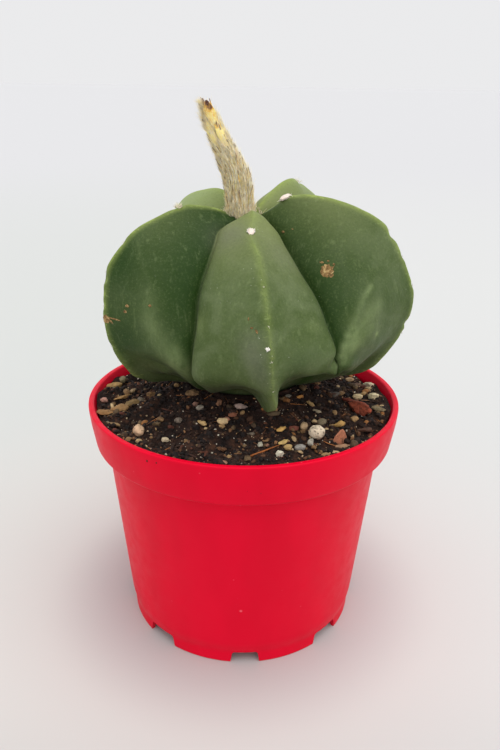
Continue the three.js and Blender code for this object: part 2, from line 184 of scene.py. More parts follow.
def paint(piece: Piece, name: str, values: Array) -> None:
    """Stores one number per vertex under a name that a finish can read."""
    layer = piece.data.attributes.new(name, "FLOAT", "POINT")
    layer.data.foreach_set("value", values.astype(np.float32))


def paint_colour(piece: Piece, name: str, colours: Array) -> None:
    """Stores one linear colour per vertex under a name that a finish can read."""
    layer = piece.data.attributes.new(name, "FLOAT_COLOR", "POINT")
    layer.data.foreach_set("color", colours.astype(np.float32).ravel())


def apply_modifier(piece: Piece, kind: str, **settings: object) -> None:
    """Adds a modifier with its settings and applies it at once.

    Args:
        piece: The piece to change.
        kind: The modifier's type.
        **settings: The modifier's own properties.
    """
    make_active(piece)
    modifier = piece.modifiers.new(kind.lower(), kind)
    for setting, value in settings.items():
        setattr(modifier, setting, value)
    bpy.ops.object.modifier_apply(modifier=modifier.name)


def smooth(piece: Piece, angle: float = 180.0) -> None:
    """Shades a piece smooth, but for edges sharper than an angle in degrees.

    Args:
        piece: The piece.
        angle: The angle; 180 smooths every edge.
    """
    make_active(piece)
    if angle >= 180.0:
        bpy.ops.object.shade_smooth()
    else:
        bpy.ops.object.shade_smooth_by_angle(angle=math.radians(angle))


def outward(piece: Piece) -> None:
    """Turns every face of a piece outwards.

    Args:
        piece: The piece.
    """
    with HandEdit(piece) as edit:
        edit.everything()
        bpy.ops.mesh.normals_make_consistent(inside=False)


def ripple(
    piece: Piece,
    name: str,
    grain: float,
    depth: float,
    way: str = "NORMAL",
    group: str = "",
    layers: int = 2,
) -> None:
    """Roughens a piece with a cloudy pattern.

    Args:
        piece: The piece to change.
        name: The pattern's name.
        grain: The size of its clouds in millimetres.
        depth: How far apart its lowest and highest places are, in millimetres.
        way: The direction in which it moves the surface.
        group: The vertex group that it is kept to, if there is one.
        layers: How many finer layers it has.
    """
    pattern = bpy.data.textures.new(name, "CLOUDS")
    pattern.noise_scale, pattern.noise_depth = grain * MM, layers
    amount = {"texture": pattern, "strength": depth * MM, "mid_level": 0.5}
    apply_modifier(piece, "DISPLACE", direction=way, vertex_group=group, **amount)


def finish_piece(piece: Piece, material: Material) -> None:
    """Gives a finished piece its material and the body that it moves with.

    Args:
        piece: The finished piece.
        material: Its finish.
    """
    piece.data.materials.clear()
    piece.data.materials.append(material)
    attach(piece, BODY)
    LOG.info("%s: %d faces", piece.name, len(piece.data.polygons))


class HandEdit:
    """Edit mode on one piece, where vertices are picked by their place."""

    def __init__(self, piece: Piece) -> None:
        """Remembers the piece."""
        self.piece = piece

    def __enter__(self) -> "HandEdit":
        """Opens edit mode with nothing selected.

        Returns:
            The edit itself.
        """
        make_active(self.piece)
        bpy.ops.object.mode_set(mode="EDIT")
        bpy.ops.mesh.select_all(action="DESELECT")
        return self

    def __exit__(self, *error: object) -> None:
        """Goes back to object mode."""
        bpy.ops.object.mode_set(mode="OBJECT")

    def everything(self) -> None:
        """Selects the whole mesh."""
        bpy.ops.mesh.select_all(action="SELECT")

    def scale(self, x: float, y: float, z: float) -> None:
        """Stretches what is selected along the axes, from the origin."""
        bpy.ops.transform.resize(value=(x, y, z), center_override=(0, 0, 0))

    def vertices(self, wanted: Callable[[Vector], bool]) -> None:
        """Selects the vertices that pass a test of their place, and nothing else.

        Args:
            wanted: The test of a vertex's place.
        """
        bpy.ops.mesh.select_mode(type="VERT")
        bpy.ops.mesh.select_all(action="DESELECT")
        mesh = bmesh.from_edit_mesh(self.piece.data)
        for vertex in mesh.verts:
            vertex.select = bool(wanted(vertex.co))
        mesh.select_flush_mode()
        bmesh.update_edit_mesh(self.piece.data)

    def cut_off(self, place: Vector, direction: Vector) -> None:
        """Slices the whole mesh flat and closes the cut; what lies along `direction` goes."""
        self.everything()
        bpy.ops.mesh.bisect(plane_co=place, plane_no=direction, use_fill=True, clear_outer=True)


# ---------------------------------------------------------------- shapes that repeat


@dataclass(frozen=True)
class Template:
    """A shape that was modelled once and is copied many times."""

    places: Array
    faces: list[tuple[int, ...]]

    @classmethod
    def take(cls, piece: Piece) -> "Template":
        """Keeps a modelled piece's shape and removes the piece.

        Args:
            piece: The modelled piece.

        Returns:
            Its shape.
        """
        mesh = piece.data
        template = cls(corners(piece), [tuple(face.vertices) for face in mesh.polygons])
        bpy.data.objects.remove(piece)
        bpy.data.meshes.remove(mesh)
        return template


@dataclass
class Copies:
    """Copies of templates that share one mesh, with the copy that each vertex belongs to.

    A copy that would take the mesh past MOST_TRIANGLES is left out.
    """

    name: str
    places: list[Array] = field(default_factory=list)
    faces: list[tuple[int, ...]] = field(default_factory=list)
    owners: list[Array] = field(default_factory=list)
    along: list[Array] = field(default_factory=list)
    count: int = 0
    triangles: int = 0

    def add(self, template: Template, places: Array, along: Array | None = None) -> None:
        """Adds one copy of a template with its own places, unless the mesh is full.

        Args:
            template: The shape that is copied.
            places: Where the copy's vertices lie, in metres.
            along: How far along the copy each vertex is, from 0 to 1, where the finish reads it.
        """
        triangles = sum(len(face) - 2 for face in template.faces)
        if self.triangles + triangles > MOST_TRIANGLES:
            return
        self.triangles += triangles
        self.owners.append(np.full(len(places), len(self.places)))
        self.places.append(places)
        if along is not None:
            self.along.append(along)
        self.faces.extend(tuple(self.count + v for v in face) for face in template.faces)
        self.count += len(places)

    def build(self) -> Piece:
        """Makes the one piece that holds all copies.

        Returns:
            The new piece.
        """
        mesh = bpy.data.meshes.new(self.name)
        mesh.from_pydata(np.concatenate(self.places).tolist(), [], self.faces)
        mesh.update()
        piece = bpy.data.objects.new(self.name, mesh)
        bpy.context.scene.collection.objects.link(piece)
        return piece

    def finish(
        self,
        finish: Material,
        slot: Slot,
        tints: Sequence[Colour] | None = None,
        angle: float = 180.0,
        shaping: Sequence[tuple[str, dict]] = (),
    ) -> None:
        """slot: The part's slot that the finish belongs to; it is not used.
            tints: The colour of each copy.
            angle: The sharpest edge that is shaded smooth, in degrees.
            shaping: Modifiers that are applied to it, each with its settings.
        """
        piece = self.build()
        if tints is not None:
            paint_colour(piece, "tint", np.array(tints)[np.concatenate(self.owners)])
        if self.along:
            paint(piece, "along", np.concatenate(self.along))
        for kind, settings in shaping:
            apply_modifier(piece, kind, **settings)
        smooth(piece, angle)
        finish_piece(piece, finish)


def turn_matrix(yaw: float, lean: float, spin: float) -> Array:
    """The matrix of a spin about Z, then a lean about X and last a yaw about Z, in radians."""
    turn = Matrix.Rotation(yaw, 3, "Z") @ Matrix.Rotation(lean, 3, "X")
    return np.array(turn @ Matrix.Rotation(spin, 3, "Z"))


def across(direction: Array) -> tuple[Array, Array]:
    """Two directions square to one direction and to each other.

    Args:
        direction: A unit vector.

    Returns:
        The two unit vectors.
    """
    helper = (0.0, 0.0, 1.0) if abs(direction[2]) < 0.9 else (1.0, 0.0, 0.0)
    first = unit(np.cross(helper, direction))
    return first, np.cross(direction, first)


def model_strand(rows: int = 4, sides: int = 3) -> Template:
    """Models a hair: a thin tube of unit length and radius that tapers to a point.

    Args:
        rows: How many lengths it is extruded in.
        sides: How many sides it has.

    Returns:
        The hair, standing on the origin.
    """
    clear_selection()
    bpy.ops.mesh.primitive_circle_add(vertices=sides, radius=1, fill_type="NGON")
    hair = name_newest("hair")
    with HandEdit(hair) as edit:
        edit.everything()
        bpy.ops.mesh.flip_normals()
        bpy.ops.mesh.select_mode(type="EDGE")
        edit.everything()
        width = 1.0
        for row in range(1, rows + 1):
            bpy.ops.mesh.extrude_edges_move(TRANSFORM_OT_translate={"value": (0, 0, 1 / rows)})
            tapered = max(1.0 - (row / rows) ** 2, 0.05)
            edit.scale(tapered / width, tapered / width, 1)
            width = tapered
        bpy.ops.mesh.merge(type="CENTER")
    outward(hair)
    return Template.take(hair)


def lay_strand(
    copies: Copies,
    strand: Template,
    root: Array,
    direction: Array,
    bend: Array,
    length: float,
    radius: float,
) -> None:
    """Adds one hair that leaves its root in a direction and bends as it goes.

    Args:
        copies: The mesh that takes the hair.
        strand: The hair's template.
        root: Where it starts, in millimetres.
        direction: The unit vector that it leaves along.
        bend: How far its tip is carried aside, in shares of its length.
        length: Its length in millimetres.
        radius: Its radius at the root in millimetres.
    """
    share = strand.places[:, 2:3]
    first, second = across(direction)
    spine = root + length * (direction * share + bend * share**2)
    ring = first * strand.places[:, 0:1] + second * strand.places[:, 1:2]
    copies.add(strand, (spine + radius * ring) * MM, share[:, 0])


# ---------------------------------------------------------------- finishes


class NodeBench:
    """Lays and joins the nodes of one material, and keeps the colour that they make so far."""

    def __init__(self, name: str, colour: Colour | None = None) -> None:
        """Makes an empty material with its shader.

        Args:
            name: The material's name.
            colour: The colour that all others are laid over.
        """
        self.material = bpy.data.materials.new(name)
        self.material.use_nodes = True
        self.tree = self.material.node_tree
        self.shader = self.tree.nodes["Principled BSDF"]
        self.colour: object = colour

    def node(self, kind: str, inputs: dict | None = None, **settings: object) -> bpy.types.Node:
        """Adds a node, sets it and fills or joins its inputs.

        Args:
            kind: The node's type.
            inputs: What each input takes, by name or number: a value or another node's output.
            **settings: The node's own properties.

        Returns:
            The node.
        """
        made = self.tree.nodes.new(kind)
        for setting, value in settings.items():
            setattr(made, setting, value)
        for key, value in (inputs or {}).items():
            self.plug(made.inputs[key], value)
        return made

    def plug(self, socket: Socket, value: object) -> None:
        """Fills an input with a value, or joins it to an output.

        Args:
            socket: The input.
            value: A number, a colour, a vector or an output.
        """
        if isinstance(value, Socket):
            self.tree.links.new(value, socket)
        else:
            socket.default_value = value

    def place(self, stretch: Place = (1, 1, 1)) -> Socket:
        """The place on the piece in metres, stretched along its axes.

        Args:
            stretch: What the place is multiplied by along each axis.

        Returns:
            The place's output.
        """
        where = self.node("ShaderNodeTexCoord").outputs["Object"]
        if stretch == (1, 1, 1):
            return where
        return self.node("ShaderNodeMapping", {"Vector": where, "Scale": stretch}).outputs[0]

    def stored(self, name: str) -> Socket:
        """The number that the piece stores under a name."""
        return self.node("ShaderNodeAttribute", attribute_name=name).outputs["Fac"]

    def noise(
        self,
        grain: float,
        detail: float = 3.0,
        roughness: float = 0.55,
        stretch: Place = (1, 1, 1),
        distortion: float = 0.0,
    ) -> Socket:
        """A cloudy pattern, about 0.5 in the mean.

        Args:
            grain: The clouds' width in millimetres.
            detail: How many finer layers there are.
            roughness: How strong the finer layers are.
            stretch: How the pattern is squeezed along each axis.
            distortion: How much it is warped.

        Returns:
            The pattern.
        """
        inputs = {"Vector": self.place(stretch), "Scale": 1 / (grain * MM), "Detail": detail}
        inputs |= {"Roughness": roughness, "Distortion": distortion}
        return self.node("ShaderNodeTexNoise", inputs).outputs["Fac"]

    def cells(self, grain: float) -> Socket:
        """The distance to the nearest of many points scattered `grain` millimetres apart."""
        inputs = {"Vector": self.place(), "Scale": 1 / (grain * MM)}
        return self.node("ShaderNodeTexVoronoi", inputs).outputs["Distance"]

    def away_from(self, place: Place) -> Socket:
        """The distance in millimetres from a place given in millimetres.

        Args:
            place: The place.

        Returns:
            The distance's output.
        """
        points = {0: self.place(), 1: tuple(MM * value for value in place)}
        node = self.node("ShaderNodeVectorMath", points, operation="DISTANCE")
        return self.math("MULTIPLY", node.outputs["Value"], 1 / MM)

    def math(self, operation: str, *terms: object) -> Socket:
        """One sum on numbers or outputs."""
        return self.node("ShaderNodeMath", dict(enumerate(terms)), operation=operation).outputs[0]

    def spread(
        self, value: object, low: float, high: float, start: float = 0.0, end: float = 1.0
    ) -> Socket:
        """Maps a value smoothly from `low` to `high` onto `start` to `end`, held at the ends."""
        inputs = {0: value, 1: low, 2: high, 3: start, 4: end}
        return self.node("ShaderNodeMapRange", inputs, interpolation_type="SMOOTHSTEP").outputs[0]

    def ramp(self, value: Socket, *stops: tuple[float, Colour]) -> None:
        """Makes the colour so far run along a value.

        Args:
            value: The output that picks the colour.
            *stops: Places on the ramp, rising, with their colours.
        """
        node = self.node("ShaderNodeValToRGB", {"Fac": value})
        marks = node.color_ramp.elements
        while len(marks) < len(stops):
            marks.new(0.5)
        for mark, (where, colour) in zip(marks, stops):
            mark.position, mark.color = where, colour
        self.colour = node.outputs["Color"]

    def mix(self, share: object, over: object, blend: str = "MIX") -> None:
        """Lays a colour over the colour so far.

        Args:
            share: How much of it shows.
            over: The upper colour.
            blend: How it is laid.
        """
        node = self.node("ShaderNodeMix", data_type="RGBA", blend_type=blend)
        for key, value in ((0, share), (6, self.colour), (7, over)):
            self.plug(node.inputs[key], value)
        self.colour = node.outputs[2]

    def lay(self, over: Colour, share: object, *factors: object) -> None:
        """Lays a colour over the colour so far, as far as its share times its factors.

        Args:
            over: The colour that is laid.
            share: How far it covers, from 0 to 1.
            *factors: What the share is multiplied by.
        """
        for factor in factors:
            share = self.math("MULTIPLY", share, factor)
        self.mix(share, over)

    def tinted(self, shade: Socket) -> None:
        """Starts from the colour that each copy stores, and darkens or lightens it.

        Args:
            shade: What the stored colour is multiplied by.
        """
        self.colour = self.node("ShaderNodeAttribute", attribute_name="tint").outputs["Color"]
        grey = self.node("ShaderNodeCombineColor", {0: shade, 1: shade, 2: shade}).outputs[0]
        self.mix(1.0, grey, "MULTIPLY")

    def bump(self, height: object, depth: float, under: Socket | None = None) -> Socket:
        """Relief from a pattern, `depth` millimetres from its lowest to its highest.

        Args:
            height: The pattern.
            depth: The relief's depth in millimetres.
            under: Relief that this one lies on.

        Returns:
            The bent normal.
        """
        inputs = {"Height": height, "Distance": depth * MM, "Strength": 1.0}
        if under is not None:
            inputs["Normal"] = under
        return self.node("ShaderNodeBump", inputs).outputs["Normal"]

    def finish(
        self, roughness: object, specular: float, normal: Socket | None = None, more: dict | None = None
    ) -> Material:
        """Fills the shader's sockets with the colour so far and the rest.

        Args:
            roughness: How rough the surface is.
            specular: How strongly it reflects.
            normal: Its relief.
            more: Further values by the shader's own socket names.

        Returns:
            The finished material.
        """
        sockets = {"Base Color": self.colour, "Roughness": roughness, "Specular IOR Level": specular}
        if normal is not None:
            sockets["Normal"] = normal
        for socket, value in (sockets | (more or {})).items():
            self.plug(self.shader.inputs[socket], value)
        return self.material


@dataclass(frozen=True)
class PotPlastic:
    """Satin moulded plastic: a saturated red with faint flow marks and scuffs."""

    red: Colour = screen(227, 1, 43)
    deep: Colour = screen(219, 1, 40)
    scuff: Colour = screen(244, 120, 132)
    scuffs: tuple[Place, ...] = ((0.2, -34.7, 19.2), (12.0, -40.0, 63.0), (-9.0, 37.0, 42.0))

    def material(self) -> Material:
        """Builds the plastic.

        Returns:
            The material.
        """
        bench = NodeBench("red_pot_plastic", self.red)
        bench.lay(self.deep, bench.spread(bench.noise(14, 2, stretch=(1, 1, 0.35)), 0.35, 0.7))
        worn = bench.spread(bench.noise(1.1, 4, 0.7, (1, 1, 2.5)), 0.66, 0.76)
        bench.lay(self.scuff, worn, bench.spread(bench.noise(17, 1), 0.5, 0.7), 0.35)
        bench.lay(self.scuff, bench.spread(bench.cells(5.5), 0.05, 0.02), 0.3)
        for place in self.scuffs:
            bench.lay(self.scuff, bench.spread(bench.away_from(place), 0.55, 0.15, 0, 0.55))
        satin = bench.spread(bench.noise(3, 3), 0.2, 0.8, 0.36, 0.5)
        waves = bench.bump(bench.noise(9, 1), 0.08, bench.bump(bench.noise(0.35, 2), 0.012))
        return bench.finish(satin, 0.09, waves)


@dataclass(frozen=True)
class Peat:
    """Dark crumbling peat with rusty fibres and the odd pale grain."""

    wet: Colour = screen(20, 12, 10)
    brown: Colour = screen(49, 32, 25)
    rust: Colour = screen(94, 61, 42)
    pale: Colour = screen(186, 160, 128)

    def material(self) -> Material:
        """Builds the peat.

        Returns:
            The material.
        """
        bench = NodeBench("dark_peat")
        clods = bench.noise(2.6, 6, 0.68)
        bench.ramp(clods, (0.34, self.wet), (0.52, self.brown), (0.72, self.rust))
        bench.lay(self.wet, bench.spread(bench.noise(11, 2), 0.35, 0.65, 0, 0.55))
        bench.lay(self.pale, bench.spread(bench.cells(1.5), 0.13, 0.06), 0.75)
        fine = bench.bump(bench.noise(0.5, 4, 0.7), 0.25)
        return bench.finish(0.95, 0.25, bench.bump(clods, 0.7, fine))


@dataclass(frozen=True)
class Stone:
    """Weathered stone in the colour that each copy stores, mottled and lightly pitted."""

    name: str
    grain: float = 0.9
    mottle: float = 0.5
    dust: Colour = screen(60, 46, 36)
    relief: float = 0.18
    pits: float = 0.0
    pit: Colour = screen(92, 58, 36)

    def material(self) -> Material:
        """Builds the stone.

        Returns:
            The material.
        """
        bench = NodeBench(self.name)
        mottle = bench.noise(self.grain, 4, 0.65)
        bench.tinted(bench.spread(mottle, 0.25, 0.75, 1 - self.mottle, 1 + 0.3 * self.mottle))
        bench.lay(self.dust, bench.spread(bench.noise(1.6, 5, 0.7), 0.52, 0.7, 0, 0.7))
        relief = bench.bump(mottle, self.relief)
        if self.pits:
            hole = bench.spread(bench.cells(self.pits), 0.34, 0.16)
            bench.lay(self.pit, hole, 0.45)
            relief = bench.bump(hole, -0.25, relief)
        return bench.finish(0.82, 0.35, relief)


@dataclass(frozen=True)
class CactusSkin:
    """Matt grey-green skin under a pale bloom, with yellow-green crests, fine flecks, painted light and
    shade.
    """

    green: Colour = screen(74, 90, 47)
    grey_green: Colour = screen(95, 108, 71)
    deep_green: Colour = screen(36, 60, 18)
    pale_green: Colour = screen(142, 158, 100)
    bloom_grey: Colour = screen(108, 110, 94)
    young_and_lit_green: Colour = screen(129, 138, 86)
    underside_shade: Colour = screen(60, 64, 38)
    crest: Colour = screen(146, 162, 86)
    streak_and_fold_highlight: Colour = screen(138, 154, 104)
    fleck: Colour = screen(214, 216, 196)

    def material(self) -> Material:
        """Builds the skin. It reads what CactusBody stores along the ribs.

        Returns:
            The material.
        """
        bench = NodeBench("bloomed_cactus_skin", self.green)
        station, tone = bench.stored("station"), bench.stored("tone")
        bench.lay(self.grey_green, bench.spread(bench.noise(9, 4, 0.6, distortion=0.6), 0.3, 0.72))
        bench.lay(self.grey_green, bench.spread(bench.noise(2.2, 5, 0.75), 0.42, 0.74, 0, 0.22))
        # Painted shade in the grooves: darker green near each groove, over a narrower reach lower down.
        reach = bench.spread(station, 0.36, 0.52, 7, 2.6)
        share = bench.math("DIVIDE", bench.stored("groove_mm"), reach)
        bench.lay(self.deep_green, bench.spread(share, 1, 0, 0, 0.6))
        # Paler towards the crown: the paler young growth together with painted light on the plant's top.
        bench.lay(self.young_and_lit_green, bench.spread(station, 0.34, 0.05, 0, 0.85))
        # Painted shade and light: darker green where the stored value is above 0, paler green where it is
        # below 0.
        bench.lay(self.deep_green, bench.spread(tone, 0, 1))
        bench.lay(self.pale_green, bench.spread(tone, 0, -1))
        bench.lay(self.bloom_grey, bench.stored("bloom"))
        self._streaks(bench)
        self._crest_line(bench)
        grain = bench.noise(0.55, 4, 0.75)
        bench.lay(self.deep_green, bench.spread(grain, 0.5, 0.28, 0, 0.24))
        bench.lay(self.pale_green, bench.spread(grain, 0.5, 0.74, 0, 0.16))
        self._flecks(bench)
        wax = bench.spread(bench.noise(1.4, 4, 0.7), 0.25, 0.75, 0.5, 0.66)
        relief = bench.bump(bench.noise(3.5, 3), 0.16, bench.bump(bench.noise(0.4, 3), 0.03))
        flesh = {"Subsurface Weight": 0.1, "Subsurface Radius": (0.5, 0.8, 0.25)}
        flesh |= {"Subsurface Scale": 0.0016, "Sheen Weight": 0.02, "Sheen Roughness": 0.5}
        return bench.finish(wax, 0.13, relief, flesh)

    def _streaks(self, bench: NodeBench) -> None:
        """Adds a pale painted highlight along the raised folds, and the faint streaks that run down the
        flanks.

        Args:
            bench: The bench that the finish is made on.
        """
        # Painted highlight: paler green along the ridge of each raised fold.
        broken = bench.spread(bench.noise(4, 3, stretch=(1, 1, 0.4)), 0.3, 0.65, 0.35, 1)
        bench.lay(self.streak_and_fold_highlight, bench.stored("fold_highlight"), broken, 0.78)
        fine = bench.noise(1.5, 3, 0.6, (1, 1, 0.16))
        bench.lay(self.streak_and_fold_highlight, bench.spread(fine, 0.56, 0.74, 0, 0.16))

    def _crest_line(self, bench: NodeBench) -> None:
        """Adds the bright broken line along each crest, painted shade on the underside and the hairs across
        it.

        Args:
            bench: The bench that the finish is made on.
        """
        crest_mm, share = bench.stored("crest_mm"), bench.stored("crest_share")
        bench.lay(self.crest, bench.spread(crest_mm, 1.9, 0.1, 0, 0.4), share)
        # Painted shade: darker olive on downward-facing skin and under the keels, low on the plant.
        bench.lay(self.underside_shade, bench.stored("under"))
        ragged = bench.spread(bench.noise(1.3, 4, 0.7), 0.3, 0.7, -0.5, 0.9)
        line = bench.spread(bench.math("ADD", crest_mm, ragged), 1, 0)
        bench.lay(self.crest, line, bench.spread(bench.noise(2.6, 3), 0.35, 0.62, 0.1, 0.9), share)
        hairs = bench.spread(bench.noise(0.6, 3, stretch=(0.3, 0.6, 1)), 0.58, 0.72)
        bench.lay(self.pale_green, hairs, bench.spread(crest_mm, 2.6, 0.5, 0, 0.4))

    def _flecks(self, bench: NodeBench) -> None:
        """Adds the tiny white wool flecks and the faint pale rubs.

        Args:
            bench: The bench that the finish is made on.
        """
        dots = bench.spread(bench.cells(1.7), 0.085, 0.03)
        patch = bench.math("ADD", bench.noise(6, 3), bench.stored("fleck_shift"))
        bench.lay(self.fleck, dots, bench.spread(patch, 0.45, 0.66), 0.75)
        bench.lay(self.fleck, bench.spread(bench.noise(2, 6, 0.8), 0.67, 0.75, 0, 0.5))


@dataclass(frozen=True)
class Tuft:
    """Wool or hair whose copies store their own colour, with a darker or paler tip."""

    name: str
    tip: Colour
    tip_start: float = 0.4
    tip_share: float = 0.3
    sheen: float = 0.35

    def material(self) -> Material:
        """Builds the wool.

        Returns:
            The material.
        """
        bench = NodeBench(self.name)
        bench.tinted(bench.spread(bench.noise(0.8, 3), 0.25, 0.75, 0.78, 1.15))
        end = bench.spread(bench.stored("along"), self.tip_start, 1, 0, self.tip_share)
        bench.lay(self.tip, end)
        fuzz = bench.bump(bench.noise(0.3, 2), 0.05)
        return bench.finish(0.75, 0.3, fuzz, {"Sheen Weight": self.sheen})


@dataclass(frozen=True)
class Cork:
    """Dry brown scar tissue, cracked and pitted."""

    pale: Colour = screen(202, 175, 122)
    brown: Colour = screen(143, 110, 66)
    dark: Colour = screen(82, 66, 40)

    def material(self) -> Material:
        """Builds the cork.

        Returns:
            The material.
        """
        bench = NodeBench("corky_scar")
        crust = bench.noise(0.7, 5, 0.7)
        bench.ramp(crust, (0.32, self.dark), (0.5, self.brown), (0.68, self.pale))
        pit = bench.spread(bench.cells(0.7), 0.32, 0.14)
        bench.lay(self.dark, pit, 0.7)
        return bench.finish(0.85, 0.3, bench.bump(crust, 0.2, bench.bump(pit, -0.15)))


@dataclass(frozen=True)
class StudioPaper:
    """The plain pale ground that the pot stands on, with a warm painted shadow round the pot and painted
    light to its east.
    """

    far: Colour = screen(202, 202, 203)
    middle: Colour = screen(198, 200, 197)
    near: Colour = screen(204, 203, 199)
    foot: Colour = screen(187, 184, 183)
    front: Colour = screen(176, 177, 176)
    lit_side: Colour = screen(208, 208, 207)

    def material(self) -> Material:
        """Builds the ground's paper.

        Returns:
            The material.
        """
        # Painted shadow: the darkest, warm colour at the pot's foot.
        bench = NodeBench("pale_ground", self.foot)
        distance = bench.node("ShaderNodeVectorMath", {0: bench.place()}, operation="LENGTH")
        reach = distance.outputs["Value"]
        east, north, _ = bench.node("ShaderNodeSeparateXYZ", {0: bench.place()}).outputs
        # Painted light on a ring just outside the foot, then a faint painted shadow halo further out.
        bench.lay(self.near, bench.spread(reach, 0.036, 0.062))
        bench.lay(self.middle, bench.spread(reach, 0.07, 0.17))
        # Painted light on the east side, painted shadow in front of the pot.
        bench.lay(self.lit_side, bench.spread(east, -0.02, 0.1, 0, 0.6))
        bench.lay(self.front, bench.spread(north, -0.03, -0.12, 0, 0.7))
        bench.lay(self.far, bench.spread(reach, 0.2, 1.4))
        return bench.finish(0.9, 0.15)


# ---------------------------------------------------------------- the pot


@dataclass
class NurseryPot:
    """The tapered red pot: turned wall, band and base, less its notches and drainage holes."""

    height: float = 66.0
    rim_radius: float = 42.5
    lip_width: float = 2.4
    lip_edge: float = 1.45
    lip_depth: float = 3.2
    lip_height: float = 1.6
    band_height: float = 11.2
    band_top_radius: float = 41.9
    band_bottom_radius: float = 41.0
    cup_top_radius: float = 38.1
    cup_bottom_radius: float = 33.4
    cup_bottom_height: float = 6.2
    foot_radius: float = 32.6
    foot_height: float = 3.5
    wall: float = 1.2
    base_height: float = 3.2
    base_thickness: float = 1.4
    segments: int = 160
    middle_radius: float = 1.5
    notch_count: int = 8
    notch_foot_width: float = 8.2
    notch_top_width: float = 6.8
    notch_height: float = 3.5
    notch_turn: float = 2.5
    wide_notch: float = 1.25
    drain_radius: float = 2.6
    drain_circle_radius: float = 26.0
    bevel: float = 0.7

    def outline(self) -> list[tuple[float, float, float]]:
        """The turned outline as radius, height and corner rounding.

        Returns:
            The corners from the middle of the underside, round the lip, to the middle of the
            floor.
        """
        step = self.height - self.band_height
        lip = self.height - self.lip_height
        inner_rim = self.rim_radius - self.lip_width
        floor = self.base_height + self.base_thickness
        inner_foot = self.foot_radius - self.wall
        return [
            (self.middle_radius, self.base_height, 0.0),
            (inner_foot, self.base_height, 0.4),
            (inner_foot, 0.0, 0.3),
            (self.foot_radius, 0.0, 0.4),
            (self.foot_radius, self.foot_height, 1.0),
            (self.cup_bottom_radius, self.cup_bottom_height, 1.6),
            (self.cup_top_radius, step, 0.5),
            (self.band_bottom_radius, step, 0.9),
            (self.band_top_radius + 0.3, lip - 2.4, 2.0),
            (self.rim_radius, lip + 0.7, 1.0),
            (self.rim_radius, self.height, 0.45),
            (self.rim_radius - self.lip_edge, self.height, 0.45),
            (inner_rim, self.height - self.lip_depth, 0.8),
            (self.band_bottom_radius - self.wall, step + self.wall, 1.0),
            (self.cup_top_radius - self.wall, step - self.wall, 0.8),
            (self.cup_bottom_radius - self.wall, self.cup_bottom_height, 1.4),
            (inner_foot - self.wall, floor, 0.9),
            (self.middle_radius, floor, 0.0),
        ]

    def build(self) -> None:
        """Turns the wall, cuts it and dresses it."""
        pot = self._turn_wall()
        for cutter in (self._notch_cutter(), self._drain_cutter()):
            apply_modifier(pot, "BOOLEAN", operation="DIFFERENCE", object=cutter, solver="EXACT")
            Template.take(cutter)
        with HandEdit(pot) as edit:
            edit.everything()
            bpy.ops.mesh.remove_doubles(threshold=0.01 * MM)
        smooth(pot, 32)
        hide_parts(Node.POT.value)
        finish_piece(pot, PotPlastic().material())

    def _rounded(self, steps: int = 4) -> list[tuple[float, float]]:
        """The outline with each corner rounded.

        Args:
            steps: How many edges each rounding has.

        Returns:
            The radius and height of every ring.
        """
        outline = [np.array(corner) for corner in self.outline()]
        rings: list[tuple[float, float]] = [tuple(outline[0][:2])]
        for before, corner, after in zip(outline, outline[1:], outline[2:]):
            back, ahead = before[:2] - corner[:2], after[:2] - corner[:2]
            reach = min(corner[2], 0.45 * np.linalg.norm(back), 0.45 * np.linalg.norm(ahead))
            start, end = corner[:2] + unit(back) * reach, corner[:2] + unit(ahead) * reach
            for t in np.linspace(0, 1, steps + 1):
                curve = (1 - t) ** 2 * start + 2 * t * (1 - t) * corner[:2] + t * t * end
                rings.append((float(curve[0]), float(curve[1])))
        rings.append(tuple(outline[-1][:2]))
        return rings

    def _turn_wall(self) -> Piece:
        """Extrudes a circle ring by ring along the outline and closes both ends.

        Returns:
            The uncut pot.
        """
        (radius, height), *rest = self._rounded()
        clear_selection()
        bpy.ops.mesh.primitive_circle_add(
            vertices=self.segments, radius=radius * MM, location=(0, 0, height * MM)
        )
        pot = name_newest("nursery_pot")
        first_height = height * MM
        with HandEdit(pot) as edit:
            edit.everything()
            for next_radius, next_height in rest:
                lift = {"value": (0, 0, (next_height - height) * MM)}
                bpy.ops.mesh.extrude_edges_move(TRANSFORM_OT_translate=lift)
                edit.scale(next_radius / radius, next_radius / radius, 1)
                radius, height = next_radius, next_height
            bpy.ops.mesh.edge_face_add()
            edge = 1.01 * self.middle_radius * MM
            edit.vertices(lambda v: v.xy.length < edge and abs(v.z - first_height) < 0.01 * MM)
            bpy.ops.mesh.edge_face_add()
        outward(pot)
        return pot

    def _notch_cutter(self) -> Piece:
        """Models one wedge with rounded upper edges and copies it round the foot.

        Returns:
            All notch wedges as one piece.
        """
        clear_selection()
        bpy.ops.mesh.primitive_cube_add(size=1)
        wedge = name_newest("notch_wedge")
        below = 1.0
        with HandEdit(wedge) as edit:
            edit.everything()
            height = self.notch_height + below
            edit.scale(self.notch_foot_width * MM, 5 * self.wall * MM, height * MM)
            edit.vertices(lambda v: v.z > 0)
            edit.scale(self.notch_top_width / self.notch_foot_width, 1, 1)
            mesh = bmesh.from_edit_mesh(wedge.data)
            bpy.ops.mesh.select_mode(type="EDGE")
            bpy.ops.mesh.select_all(action="DESELECT")
            for side in mesh.edges:
                first, second = (vertex.co for vertex in side.verts)
                side.select = min(first.z, second.z) > 0 and abs(first.x - second.x) < 1e-7
            bmesh.update_edit_mesh(wedge.data)
            bpy.ops.mesh.bevel(offset=self.bevel * MM, segments=3, affect="EDGES")
            edit.everything()
            middle = (self.notch_height - below) / 2
            bpy.ops.transform.translate(value=(0, -self.foot_radius * MM, middle * MM))
        return self._round_the_foot("notch_wedges", Template.take(wedge), self.wide_notch)

